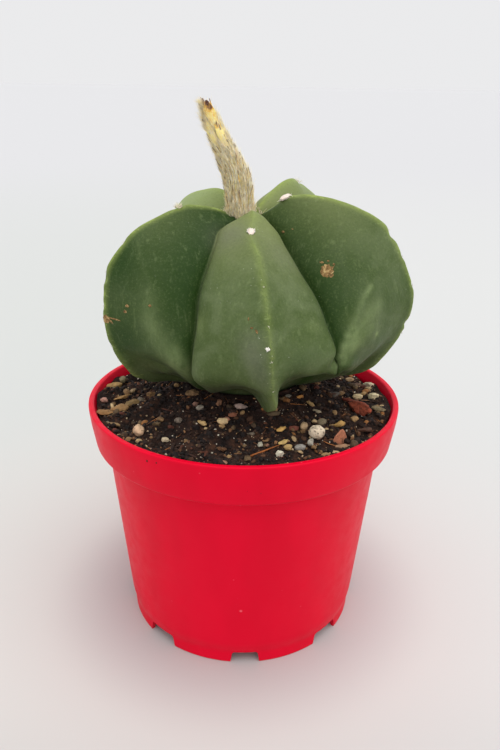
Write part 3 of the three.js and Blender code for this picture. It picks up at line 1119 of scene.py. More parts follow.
    def _drain_cutter(self) -> Piece:
        """Models one plug and copies it round the base, with one more in the middle.

        Returns:
            All drainage plugs as one piece.
        """
        clear_selection()
        bpy.ops.mesh.primitive_cylinder_add(
            vertices=28,
            radius=self.drain_radius * MM,
            depth=4 * self.base_thickness * MM,
            location=(0, -self.drain_circle_radius * MM, self.base_height * MM),
        )
        plug = Template.take(name_newest("drain_plug"))
        plugs = self._round_the_foot("drain_plugs", plug)
        middle = Copies("middle_plug")
        middle.add(plug, plug.places + np.array([0, self.drain_circle_radius * MM, 0]))
        extra = middle.build()
        make_active(plugs)
        extra.select_set(True)
        bpy.ops.object.join()
        return plugs

    def _round_the_foot(self, name: str, shape: Template, widen: float = 1.0) -> Piece:
        """Copies a shape at the front of the foot evenly round it, as often as there are notches.

        Args:
            name: The name of the copies' piece.
            shape: The shape at the front.
            widen: How much wider every other copy is.

        Returns:
            The piece that holds the copies.
        """
        ring = Copies(name)
        for index in range(self.notch_count):
            turn = math.radians(self.notch_turn) + index * math.tau / self.notch_count
            places = shape.places * np.array([1.0 + (widen - 1) * (index % 2), 1, 1])
            ring.add(shape, places @ turn_matrix(turn, 0, 0).T)
        return ring.build()


# ---------------------------------------------------------------- the plant's shape


@dataclass(frozen=True)
class SideLine:
    """A crest or the floor of a groove, seen from the side.

    It rises `rise` above its belly and falls `drop` below it, and reaches `reach` from the axis
    there. `shoulder` and `heel` are the exponents of its two superellipse quarters.
    """

    azimuth: float
    reach: float
    belly: float
    rise: float
    drop: float
    shoulder: float
    heel: float
    turn: float = 0.0
    root: float = 16.0
    dip: float = 0.0
    dip_width: float = 1.0
    edge: tuple[float, float, float] = (60, 46, 18)
    tuft: float = 0.0

    def bearing(self, station: Array) -> Array:
        """Direction round the axis at each station, in degrees."""
        return self.azimuth + self.turn * np.clip(station / 0.6, 0, 1)

    def young_station(self) -> float:
        """The station of the youngest wool cushion."""
        share = (self.tuft / self.reach) ** (self.shoulder / 2)
        return RibPlan.belly_station * math.asin(share) / (math.pi / 2)


class RibPlan:
    """The five ribs: where every point of the skin lies."""

    axis = np.array([0.5, 3.0])
    neck = ((16.0, 72.0), (12.0, 60.0), (7.0, 52.0))
    belly_station = 0.5
    neck_station = 0.85
    groove_opening = 12.0
    crests = (
        SideLine(-85, 35.8, 86, 31, 15.5, 1.8, 2.7, 6, 21, 4, 4, (64, 56, 16), 14.8),
        SideLine(-11, 43, 96, 25.2, 24, 2.6, 2.9, 0, 20, 8, 8, tuft=9.4),
        SideLine(52, 41, 95, 28.3, 22.5, 2.5, 2.7, 0, 20, 10, 8, tuft=21),
        SideLine(132, 38, 94, 26.5, 22.5, 2.7, 2.7, 0, 20, 7, 6, tuft=31),
        SideLine(206, 39.4, 92, 26.5, 21.5, 2.35, 2.7, 0, 20, 5, 8, tuft=19),
    )
    grooves = (
        SideLine(-47.5, 31.5, 86, 27, 14, 1.35, 1.5),
        SideLine(22, 26, 85, 28, 13, 1.8, 1.7),
        SideLine(93, 25, 85, 28, 13, 1.8, 1.7),
        SideLine(169, 25, 85, 28, 13, 1.8, 1.7),
        SideLine(242, 26.5, 85, 28, 13, 2.15, 1.6),
    )

    def side_view(self, line: SideLine, station: Array) -> tuple[Array, Array]:
        """Distance from the axis and height of a line at each station.

        Args:
            line: The crest or groove.
            station: Stations from 0 at the crown to 1 at the neck's foot.

        Returns:
            The distances and the heights.
        """
        upper = math.pi / 2 * np.clip(station / self.belly_station, 0, 1)
        distance = line.reach * np.sin(upper) ** (2 / line.shoulder)
        lift = np.maximum(np.cos(upper), 0) ** (2 / line.shoulder)
        sunk = line.dip * bell(distance, line.dip_width)
        height = line.belly + line.rise * lift - sunk
        keel = (station - self.belly_station) / (self.neck_station - self.belly_station)
        lower = math.pi / 2 * np.clip(keel, 0, 1)
        inward = np.maximum(np.cos(lower), 0) ** (2 / line.heel)
        low_distance = line.root + (line.reach - line.root) * inward
        low_height = line.belly - line.drop * np.sin(lower) ** (2 / line.heel)
        keys = (self.neck_station, 0.9, 0.95, 1)
        radii = (line.root, *(radius for radius, _ in self.neck))
        heights = (line.belly - line.drop, *(level for _, level in self.neck))
        above, ribbed = station <= self.belly_station, station <= self.neck_station
        distance = np.where(above, distance, np.where(ribbed, low_distance, np.interp(station, keys, radii)))
        height = np.where(above, height, np.where(ribbed, low_height, np.interp(station, keys, heights)))
        return distance, height

    def round_axis(self, distance: Array, azimuth: Array, height: Array) -> Array:
        """Points at distances, directions and heights round the plant's axis.

        Args:
            distance: Distances from the axis, in millimetres.
            azimuth: Directions, in degrees.
            height: Heights, in millimetres.

        Returns:
            One point per row.
        """
        angle = np.radians(azimuth)
        x = self.axis[0] + distance * np.cos(angle)
        y = self.axis[1] + distance * np.sin(angle)
        return np.stack([x, y, height + 0 * x], axis=-1)

    def line_point(self, line: SideLine, station: Array) -> Array:
        """Points of a crest or groove at stations, in millimetres."""
        distance, height = self.side_view(line, station)
        return self.round_axis(distance, line.bearing(station), height)

    def flank(
        self, crest: SideLine, groove: SideLine, side: int, station: Array, share: Array
    ) -> tuple[Array, Array]:
        """Points of a flank, which runs from its groove to its crest.

        Args:
            crest: The rib's crest.
            groove: The groove beside it.
            side: 1 for the flank clockwise of the crest, -1 for the other.
            station: Stations from the crown down.
            share: How far each point is from the groove, 0, to the crest, 1.

        Returns:
            The points, and the flank's width at each, in millimetres.
        """
        behind = 360 if groove.azimuth > crest.azimuth and side > 0 else 0
        start, end = self.line_point(groove, station), self.line_point(crest, station)
        span = np.hypot(*(end - start)[..., :2].T).T
        low = (0, self.belly_station, 0.75, self.neck_station, 1)
        out = span * np.interp(station, low, (0.36, 0.38, 0.5, 0.45, 0.36))
        back = span * np.interp(station, low, (0.36, 0.36, 0.5, 0.5, 0.36))
        angles = (75, *crest.edge, crest.edge[2], 80)
        keys = (0, 0.2, self.belly_station, 0.72, self.neck_station, 1)
        half_angle = np.interp(station, keys, angles)
        leaving = np.radians(groove.bearing(station) + side * self.groove_opening)
        arriving = np.radians(crest.bearing(station) + side * half_angle)
        first, second = start.copy(), end.copy()
        first[..., 0] += out * np.cos(leaving)
        first[..., 1] += out * np.sin(leaving)
        second[..., 0] -= back * np.cos(arriving)
        second[..., 1] -= back * np.sin(arriving)
        climb = end[..., 2] - start[..., 2]
        first[..., 2] = start[..., 2] + climb * np.interp(station, low, (0.3, 0.3, 0, 0, 0.3))
        second[..., 2] = start[..., 2] + climb * np.interp(station, low, (0.72, 0.72, 0.22, 0.22, 0.72))
        s = share[..., None]
        curve = (1 - s) ** 3 * start + 3 * (1 - s) ** 2 * s * first
        curve += 3 * (1 - s) * s**2 * second + s**3 * end
        near, near_height = self.side_view(groove, station)
        far, far_height = self.side_view(crest, station)
        bearing = groove.bearing(station) - behind
        bearing = bearing + share * (crest.bearing(station) - bearing)
        ring = self.round_axis(
            near + share * (far - near), bearing, near_height + share * (far_height - near_height)
        )
        neck = smooth_step(station, self.neck_station - 0.03, 0.9)[..., None]
        return curve + neck * (ring - curve), span

    def crest_normal(self, crest: SideLine, station: float) -> Array:
        """The direction square to a crest at a station, away from the plant.

        Args:
            crest: The crest's line.
            station: The station.

        Returns:
            A direction of length 1.
        """
        around = self.line_point(crest, np.array([station - 0.004, station + 0.004]))
        along = around[1] - around[0]
        angle = math.radians(float(crest.bearing(np.array(station))))
        radial = level_way(angle)
        normal = unit(np.cross(np.cross(radial, (0, 0, 1)), along))
        return normal if normal @ (radial + np.array([0, 0, 0.5])) > 0 else -normal


# ---------------------------------------------------------------- the soil


def add_sphere(name: str, columns: int, rows: int) -> tuple[Piece, Array, Array]:
    """Adds a unit sphere whose vertices can be told apart by their row and column.

    Args:
        name: The piece's name.
        columns: Its segments.
        rows: Its rings.

    Returns:
        The sphere, each vertex's row, 0 at the top pole, and its column, anticlockwise from +X.
    """
    clear_selection()
    bpy.ops.mesh.primitive_uv_sphere_add(segments=columns, ring_count=rows)
    piece = name_newest(name)
    places = corners(piece)
    places /= np.linalg.norm(places, axis=1, keepdims=True)
    row = np.rint(np.arccos(np.clip(places[:, 2], -1, 1)) / math.pi * rows)
    angle = np.arctan2(places[:, 1], places[:, 0]) % math.tau
    column = np.rint(angle / math.tau * columns) % columns
    return piece, row.astype(int), column.astype(int)


@dataclass
class SoilBed:
    """The peat that fills the pot: mounded at the plant and lowest along the back."""

    front_depth: float = 2.2
    back_depth: float = 4.2
    mound_height: float = 71.0
    mound_foot_radius: float = 37.0
    relief: float = 0.5
    west_bank: float = 2.3
    east_bank: float = 1.7
    bank_width: float = 8.0
    bank_length: float = 17.0
    gap: float = 0.3
    columns: int = 400
    rows: int = 96
    clods: tuple[tuple[float, float], ...] = ((4.5, 1.5), (1.7, 1.1), (0.7, 0.5))
    hole_rows: int = 8
    surface_rows: int = 72
    pot: NurseryPot = field(default_factory=NurseryPot)
    tree: BVHTree | None = None

    def height(self, x: Array, y: Array) -> Array:
        """Height of the soil before its crumbs, in millimetres.

        Args:
            x: Places across the pot.
            y: Places from front to back.

        Returns:
            The heights.
        """
        inner = RibPlan.neck[0][0]
        distance = np.hypot(x - RibPlan.axis[0], y - RibPlan.axis[1])
        back = np.clip((1 + y / self.pot.rim_radius) / 2, 0, 1)
        edge = self.pot.height - (self.front_depth + (self.back_depth - self.front_depth) * back)
        spread = np.clip((distance - inner) / (self.mound_foot_radius - inner), 0, 1)
        slope = (1 - spread) ** 1.5
        clods = np.sin(x * 0.5 + 1.3) * np.sin(y * 0.6 + 0.4) + np.sin(x * 0.3 - y * 0.4)
        loose = smooth_step(distance, inner + 1, inner + 8)
        reach = self.pot.rim_radius - self.pot.lip_width
        banks = self.west_bank * bell(x + reach, self.bank_width)
        banks = (banks + self.east_bank * bell(x - reach, self.bank_width)) * bell(y, self.bank_length)
        return edge + (self.mound_height - edge) * slope + banks + self.relief * loose * clods

    def build(self) -> None:
        """Shapes the bed from a sphere, roughens its surface and dresses it."""
        bed, row, column = add_sphere("soil_bed", self.columns, self.rows)
        move_corners(bed, self._places(row, column) * MM)
        on_top = (row > self.hole_rows + 1) & (row < self.hole_rows + self.surface_rows)
        loose = bed.vertex_groups.new(name="loose")
        loose.add(np.nonzero(on_top)[0].tolist(), 1.0, "REPLACE")
        for grain, depth in self.clods:
            ripple(bed, f"clods_{grain}", grain, depth, "Z", "loose")
        smooth(bed)
        self.tree = BVHTree.FromObject(bed, bpy.context.evaluated_depsgraph_get())
        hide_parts(Node.SOIL.value)
        finish_piece(bed, Peat().material())

    def settle(self, x: float, y: float) -> float:
        """Height of the finished surface at a place, in millimetres.

        Args:
            x: The place across the pot.
            y: The place along the pot.

        Returns:
            The height.
        """
        above = 100 * MM
        hit = self.tree.ray_cast(Vector((x * MM, y * MM, above)), Vector((0, 0, -1)))[0]
        return hit.z / MM if hit is not None else float(self.height(x, y))

    def _places(self, row: Array, column: Array) -> Array:
        """Places of the sphere's vertices on the bed.

        Args:
            row: The row of each vertex.
            column: The column of each vertex.

        Returns:
            The places in millimetres.
        """
        angle = column * math.tau / self.columns
        way = np.stack([np.cos(angle), np.sin(angle)], axis=1)
        neck = sorted((level, radius + self.gap) for radius, level in RibPlan.neck)
        hole_foot = neck[0][0] - self.gap
        hole = [(0.0, hole_foot), *((radius, level) for level, radius in neck)]
        hole[-1] = (hole[-1][0], self.mound_height)
        outline = self.pot.outline()[-5:]
        wall = [(radius - self.gap, level) for radius, level, _ in outline[:4]]
        wall.append((0.0, outline[-1][1] + self.gap))
        wall[-2] = (wall[-2][0], wall[-1][1])
        wall_top = self.pot.rim_radius - self.pot.lip_width - self.gap - 0.05
        last = self.hole_rows + self.surface_rows
        share = np.clip((row - self.hole_rows) / self.surface_rows, 0, 1)[:, None]
        inner = RibPlan.axis + way * (RibPlan.neck[0][0] + self.gap)
        edge = way * wall_top
        above = self.height(edge[:, 0], edge[:, 1]) - (self.pot.height - self.pot.lip_depth)
        widening = (self.pot.lip_width - self.pot.lip_edge) * np.clip(above / self.pot.lip_depth, 0, 1)
        surface = inner + (edge + way * widening[:, None] - inner) * share
        level = self.height(surface[:, 0], surface[:, 1])
        hole_radius, hole_level = self._along(hole, row, 0, self.hole_rows)
        down = np.column_stack([RibPlan.axis + way * hole_radius[:, None], hole_level])
        wall_radius, wall_level = self._along(wall, row, last + 1, self.rows)
        side = np.column_stack([way * wall_radius[:, None], wall_level])
        under_rim = np.minimum(level, self.pot.height - 1.5 * self.pot.lip_height)
        side[row == last + 1, 2] = under_rim[row == last + 1] - 1.0
        places = np.where((row <= self.hole_rows)[:, None], down, np.column_stack([surface, level]))
        return np.where((row > last)[:, None], side, places)

    def _along(
        self, line: list[tuple[float, float]], row: Array, first: int, last: int
    ) -> tuple[Array, Array]:
        """The radius and height of each row on a line that the rows `first` to `last` follow."""
        keys = np.linspace(first, last, len(line))
        return np.interp(row, keys, [r for r, _ in line]), np.interp(row, keys, [h for _, h in line])


class StoneForm(Enum):
    """The kinds of stone and crumb in the soil."""

    ROUND = "round"
    SLAB = "slab"
    CHIP = "chip"
    SHARD = "shard"


class StoneSurface(Enum):
    """What the surface of a stone that stands out is like."""

    PLAIN = "plain"
    PITTED = "pitted"
    LAVA = "lava"


ROUND, SLAB, CHIP, SHARD = StoneForm
PLAIN, PITTED, LAVA = StoneSurface
# How each kind of stone is stretched along its three axes before it is cut.
STRETCHES = {ROUND: (1.0, 0.84, 0.74), SLAB: (1.15, 0.8, 0.5), CHIP: (1.1, 0.8, 0.72)}
STRETCHES[SHARD] = (1.0, 0.62, 0.9)


@dataclass
class StoneCutter:
    """Models stones of about unit half length, each from a primitive and a few flat cuts."""

    seed: int = 21
    cut_depth: tuple[float, float] = (0.5, 0.8)
    voxel: float = 0.09
    dent_depth: float = 0.22
    dent_grain: float = 0.45

    def __post_init__(self) -> None:
        """Starts the stream of numbers that places the cuts."""
        self.random = np.random.default_rng(self.seed)

    def cut(self, form: StoneForm, fine: bool = False, facets: int = 4) -> Template:
        """Models one stone.

        Args:
            form: Its kind.
            fine: Whether it stands alone and so has many faces.
            facets: How many flat cuts it has.

        Returns:
            The stone's shape.
        """
        clear_selection()
        if form is SHARD:
            bpy.ops.mesh.primitive_cone_add(vertices=4, radius1=1, radius2=0.12, depth=1.5)
        else:
            bpy.ops.mesh.primitive_ico_sphere_add(subdivisions=2 if form is ROUND else 1)
        stone = name_newest("stone")
        with HandEdit(stone) as edit:
            edit.everything()
            stretch = STRETCHES[form]
            edit.scale(*stretch)
            for _ in range(facets):
                way = unit(self.random.normal(size=3))
                depth = self.random.uniform(*self.cut_depth) * float(np.abs(way * stretch).max())
                edit.cut_off(Vector(way * depth), Vector(way))
        outward(stone)
        if fine:
            self._weather(stone)
        return Template.take(stone)

    def _weather(self, stone: Piece) -> None:
        """Rounds a stone's edges, divides it and dents it.

        Args:
            stone: The cut stone.
        """
        apply_modifier(stone, "REMESH", mode="VOXEL", voxel_size=self.voxel)
        apply_modifier(stone, "SMOOTH", factor=0.5, iterations=3)
        pattern = bpy.data.textures.new("dents", "CLOUDS")
        pattern.noise_scale = self.dent_grain
        shift = {"texture_coords": "LOCAL", "strength": self.dent_depth, "mid_level": 0.5}
        apply_modifier(stone, "DISPLACE", texture=pattern, direction="NORMAL", **shift)


@dataclass(frozen=True)
class Palette:
    """Colours that copies take at random: red, green and blue as on a screen, and a share."""

    rows: tuple[tuple[int, int, int, float], ...]
    variation: float = 0.18

    def pick(self, random: Stream, count: int) -> Array:
        """Draws a colour for each copy.

        Args:
            random: The stream of numbers.
            count: How many copies there are.

        Returns:
            One linear colour per copy.
        """
        shares = np.array([share for *_, share in self.rows])
        chosen = random.choice(len(shares), size=count, p=shares / shares.sum())
        colours = np.array([screen(*tint) for *tint, _ in self.rows])[chosen]
        colours[:, :3] *= random.uniform(1 - self.variation, 1 + self.variation, (count, 1))
        return np.clip(colours, 0, 1)


GRAVEL_COLOURS = Palette((
    (138, 106, 70, 5), (110, 88, 60, 5), (86, 68, 49, 5), (168, 134, 90, 3), (194, 166, 122, 1.5),
    (158, 106, 58, 2), (136, 122, 104, 1.6), (118, 74, 52, 2), (98, 52, 38, 1.4), (170, 122, 98, 1),
))
LUMP_COLOURS = Palette(((28, 18, 15, 7), (44, 29, 22, 6), (64, 43, 32, 3), (92, 63, 44, 1)), 0.25)
CRUMB_COLOURS = Palette((
    (24, 15, 12, 7), (43, 28, 21, 6), (66, 44, 32, 4), (98, 65, 43, 1.5), (140, 100, 66, 0.7),
), 0.25)
GRIT_COLOURS = Palette((
    (222, 212, 190, 3), (208, 182, 146, 4), (196, 150, 108, 3), (182, 174, 160, 1.5),
))
BARK_COLOURS = Palette(((92, 50, 34, 3), (66, 40, 30, 3), (164, 108, 66, 1.2)), 0.2)
FIBRE_COLOURS = Palette(((176, 112, 62, 2), (128, 84, 54, 2)))
SCALE_COLOURS = Palette(((226, 190, 120, 3), (206, 176, 124, 3)), 0.15)
SILK_COLOURS = Palette((
    (255, 240, 200, 6), (255, 232, 176, 4), (246, 224, 126, 2.4), (228, 184, 134, 1), (255, 249, 228, 4),
), 0.09)


@dataclass(frozen=True)
class Heap:
    """A part of the soil where stones lie more thickly."""

    middle: tuple[float, float]
    spread: tuple[float, float]
    weight: float

    def density(self, x: float, y: float) -> float:
        """How thickly stones lie at a place."""
        u, v = (x - self.middle[0]) / self.spread[0], (y - self.middle[1]) / self.spread[1]
        return self.weight * math.exp(-u * u - v * v)


@dataclass(frozen=True)
class Landmark:
    """One stone that stands out, with its own place, half sizes and colour as on a screen."""

    name: str
    place: tuple[float, float]
    size: Place
    tint: tuple[int, int, int]
    lift: float = 0.2
    form: StoneForm = StoneForm.ROUND
    yaw: float = 0.0
    lean: float = 0.0
    facets: int = 2
    surface: StoneSurface = StoneSurface.PLAIN


LANDMARKS = tuple(Landmark(*row) for row in (
    ("pumice_pebble", (18.4, -24.2), (2.15, 2.1, 2.5), (226, 208, 180), 0.5, ROUND, 0, 0, 0, PITTED),
    ("speckled_pebble", (-26.2, -21.7), (2.1, 1.7, 2), (214, 178, 142), 0.5, ROUND, 110, 20, 0, PITTED),
    ("white_block", (9.2, -32.8), (1.4, 1.2, 1.5), (240, 232, 206), 0.55, ROUND, 20, 0, 6),
    ("clay_shard", (24.4, -23.4), (3.1, 1.5, 3.6), (206, 136, 102), 0.6, SHARD, 30, 10, 1),
    ("rose_pebble", (25, -25.6), (2.3, 1.3, 1.3), (172, 134, 102), 0.3, SLAB, 12, 0, 0),
    ("lava_chip", (31, -8.8), (4.5, 3.1, 2.5), (152, 72, 48), 0.6, ROUND, -38, 14, 6, LAVA),
    ("lava_crumb", (28.6, -3.6), (2, 1.3, 1.3), (118, 54, 36), 0.5, CHIP, -20, 0, 4, LAVA),
    ("cream_pebble_east", (31.6, -1.4), (1.5, 1.1, 1.1), (226, 202, 156), 0.9, ROUND, 0, 0, 0),
    ("cream_stone_east", (36.4, 1.2), (1.8, 1.4, 1.3), (218, 202, 162), 0.6, ROUND, 15),
    ("olive_slab_east", (36.6, -8.6), (2.6, 1.2, 1), (132, 118, 88), 0.5, SLAB, -30, 16),
    ("pale_stone_east", (36.4, 10.4), (1.8, 1.2, 1.1), (206, 190, 160), 0.5),
    ("brown_stone_east", (31.4, -17.6), (2.2, 1.5, 1.3), (88, 60, 46), 0.35, ROUND, 20, 0, 3),
    ("grey_brown_stone", (25.2, -2.8), (1.9, 1.4, 1.2), (98, 88, 78), 0.4, ROUND, 10),
    ("tan_slab_west", (-33.3, -9.3), (2.7, 1.9, 1.4), (172, 132, 86), 0.6, ROUND, 10, 12, 1),
    ("olive_slab_west", (-30.3, -5.6), (3, 1.6, 1.2), (142, 114, 72), 0.6, SLAB, 28, 20),
    ("long_slab_west", (-33.4, -2.4), (3.2, 1.3, 1.1), (180, 138, 86), 0.6, SLAB, 42, -16),
    ("flat_slab_west", (-36.6, -11.6), (2.6, 1.7, 0.9), (158, 118, 72), 0.6, SLAB, -8, 8),
    ("pale_slab_west", (-33, -17.2), (2.4, 1.2, 0.9), (152, 122, 82), 0.5, SLAB, -18, -8),
    ("amber_stone_west", (-37.6, 7), (2.5, 1.7, 1.5), (172, 136, 84), 0.6, ROUND, 25),
    ("olive_stone_west", (-35.8, 11), (2, 1.5, 1.4), (132, 120, 90), 0.5, ROUND, 70),
    ("tan_stone_north_west", (-31.4, 2), (1.9, 1.1, 1), (168, 140, 104), 0.6, SLAB, 70),
    ("pink_stone_west", (-38, -5), (1.3, 1, 1), (186, 138, 120), 0.6, ROUND, 0, 0, 1),
    ("crumbly_knob_west", (-25.4, -2.1), (1.7, 1.2, 1.3), (172, 132, 88), 0.5, CHIP, 15, 0, 3, LAVA),
    ("golden_chip", (-10.4, -20.3), (2, 1.1, 1), (214, 178, 122), 0.5, SLAB, -50, 10),
    ("cream_knob", (-4.8, -22.2), (1.8, 1.4, 1.3), (220, 190, 142), 0.5, ROUND, 25, 0, 3),
    ("pale_chip_front", (-19.2, -25.3), (1.3, 1.1, 1), (196, 178, 146), 0.5, CHIP, 0, 0, 3),
    ("crumbly_clump", (-13.4, -10.4), (2.2, 1.5, 1.5), (150, 118, 82), 0.4, CHIP, 14, 0, 2, LAVA),
    ("dun_pebble_west", (-16.4, -18.5), (1.2, 1, 1), (132, 118, 104), 0.5, ROUND, 0, 0, 1),
    ("pink_crumb", (-12.5, -14.4), (1.3, 1, 1), (178, 134, 116), 0.5, CHIP, 60, 0, 3, LAVA),
    ("tan_lump", (-6.3, -15.2), (1.4, 1.2, 1.2), (164, 118, 88), 0.5, CHIP, 80, 0, 3, LAVA),
    ("grey_pebble_middle", (-11.1, -16.4), (1.2, 0.9, 0.9), (160, 150, 134), 0.5, ROUND, 40, 0, 1),
    ("pale_clump", (-0.6, -17.2), (2.2, 1.3, 1.3), (176, 152, 140), 0.3, CHIP, 10, 0, 5, PITTED),
    ("olive_brown_stone", (7.8, -18), (2, 1.5, 1.2), (90, 74, 52), 0.3, ROUND, 30, 0, 3),
    ("ochre_stone", (24.6, -17.9), (1.7, 1.3, 1.2), (190, 150, 86), 0.5),
    ("olive_grey_stone", (20.2, -17.2), (1.8, 1.4, 1.2), (128, 114, 88), 0.4, ROUND, 50),
    ("brick_chip", (12.8, -22.1), (1.4, 1.2, 1), (112, 62, 46), 0.4, CHIP, 10),
    ("ochre_chip", (10.1, -28.2), (1.8, 1, 0.9), (196, 166, 104), 0.5, SLAB, 40, 10),
    ("tan_chip_front", (12.6, -26.6), (1.6, 0.9, 0.9), (176, 148, 108), 0.5, SLAB, 100, 10),
    ("ochre_pebble_front", (11.2, -29.9), (1.3, 1.1, 1), (190, 158, 104), 0.5, ROUND, 0, 0, 1),
    ("blue_grey_pebble", (14, -29.6), (1.5, 1.1, 1.1), (150, 145, 136), 0.5, ROUND, 15, 0, 1),
    ("grey_pebble", (16.9, -27), (1.4, 1.1, 1.2), (172, 166, 150), 0.6, ROUND, 60),
    ("amber_oblong", (17.6, -11.8), (1.7, 0.9, 0.9), (204, 166, 112), 0.6, SLAB, -60, 10, 1),
    ("grey_oblong", (19.3, -13.9), (1.6, 0.8, 0.8), (166, 150, 124), 0.6, SLAB, -40, 10, 1),
    ("golden_chip_middle", (9.6, -23), (1.7, 1, 0.9), (206, 162, 92), 0.6, SLAB, 48, 10),
    ("rust_chip", (-2.6, -19.9), (1.3, 0.9, 0.9), (158, 100, 74), 0.5, CHIP, 20, 0, 3),
    ("amber_block_south", (-4.8, -29.3), (1.6, 1.2, 1), (118, 80, 52), 0.4, CHIP, -25, 0, 4, LAVA),
    ("dun_pebble_south", (15.4, -21.3), (1.7, 1.2, 1.3), (176, 148, 112), 0.5, ROUND, 80),
    ("shell_chip", (4.4, -29.6), (1.3, 1, 0.9), (176, 170, 150), 0.5, SLAB, 70, 10),
    ("amber_crumb", (15, -10.2), (1.3, 0.8, 0.7), (196, 136, 70), 0.5, CHIP, 30, 0, 3),
    ("grey_chip_north", (11.6, -11.4), (1, 0.8, 0.7), (142, 134, 120), 0.5, CHIP, 0, 0, 3),
    ("brown_stone_north", (34, 13), (1.9, 1.3, 1.1), (112, 84, 66), 0.5),
    ("tan_stone_north", (31.6, 15.6), (1.4, 1, 0.9), (190, 158, 118), 0.5),
))


@dataclass(frozen=True)
class Strewn:
    """One kind of loose grain on the soil; a higher skew means more small ones.

    The sizes are the smallest and the largest half length. Grains lie evenly or in the heaps.
    """

    finish: Stone
    name: str
    count: int
    sizes: tuple[float, float]
    skew: float
    palette: Palette
    even: bool = True


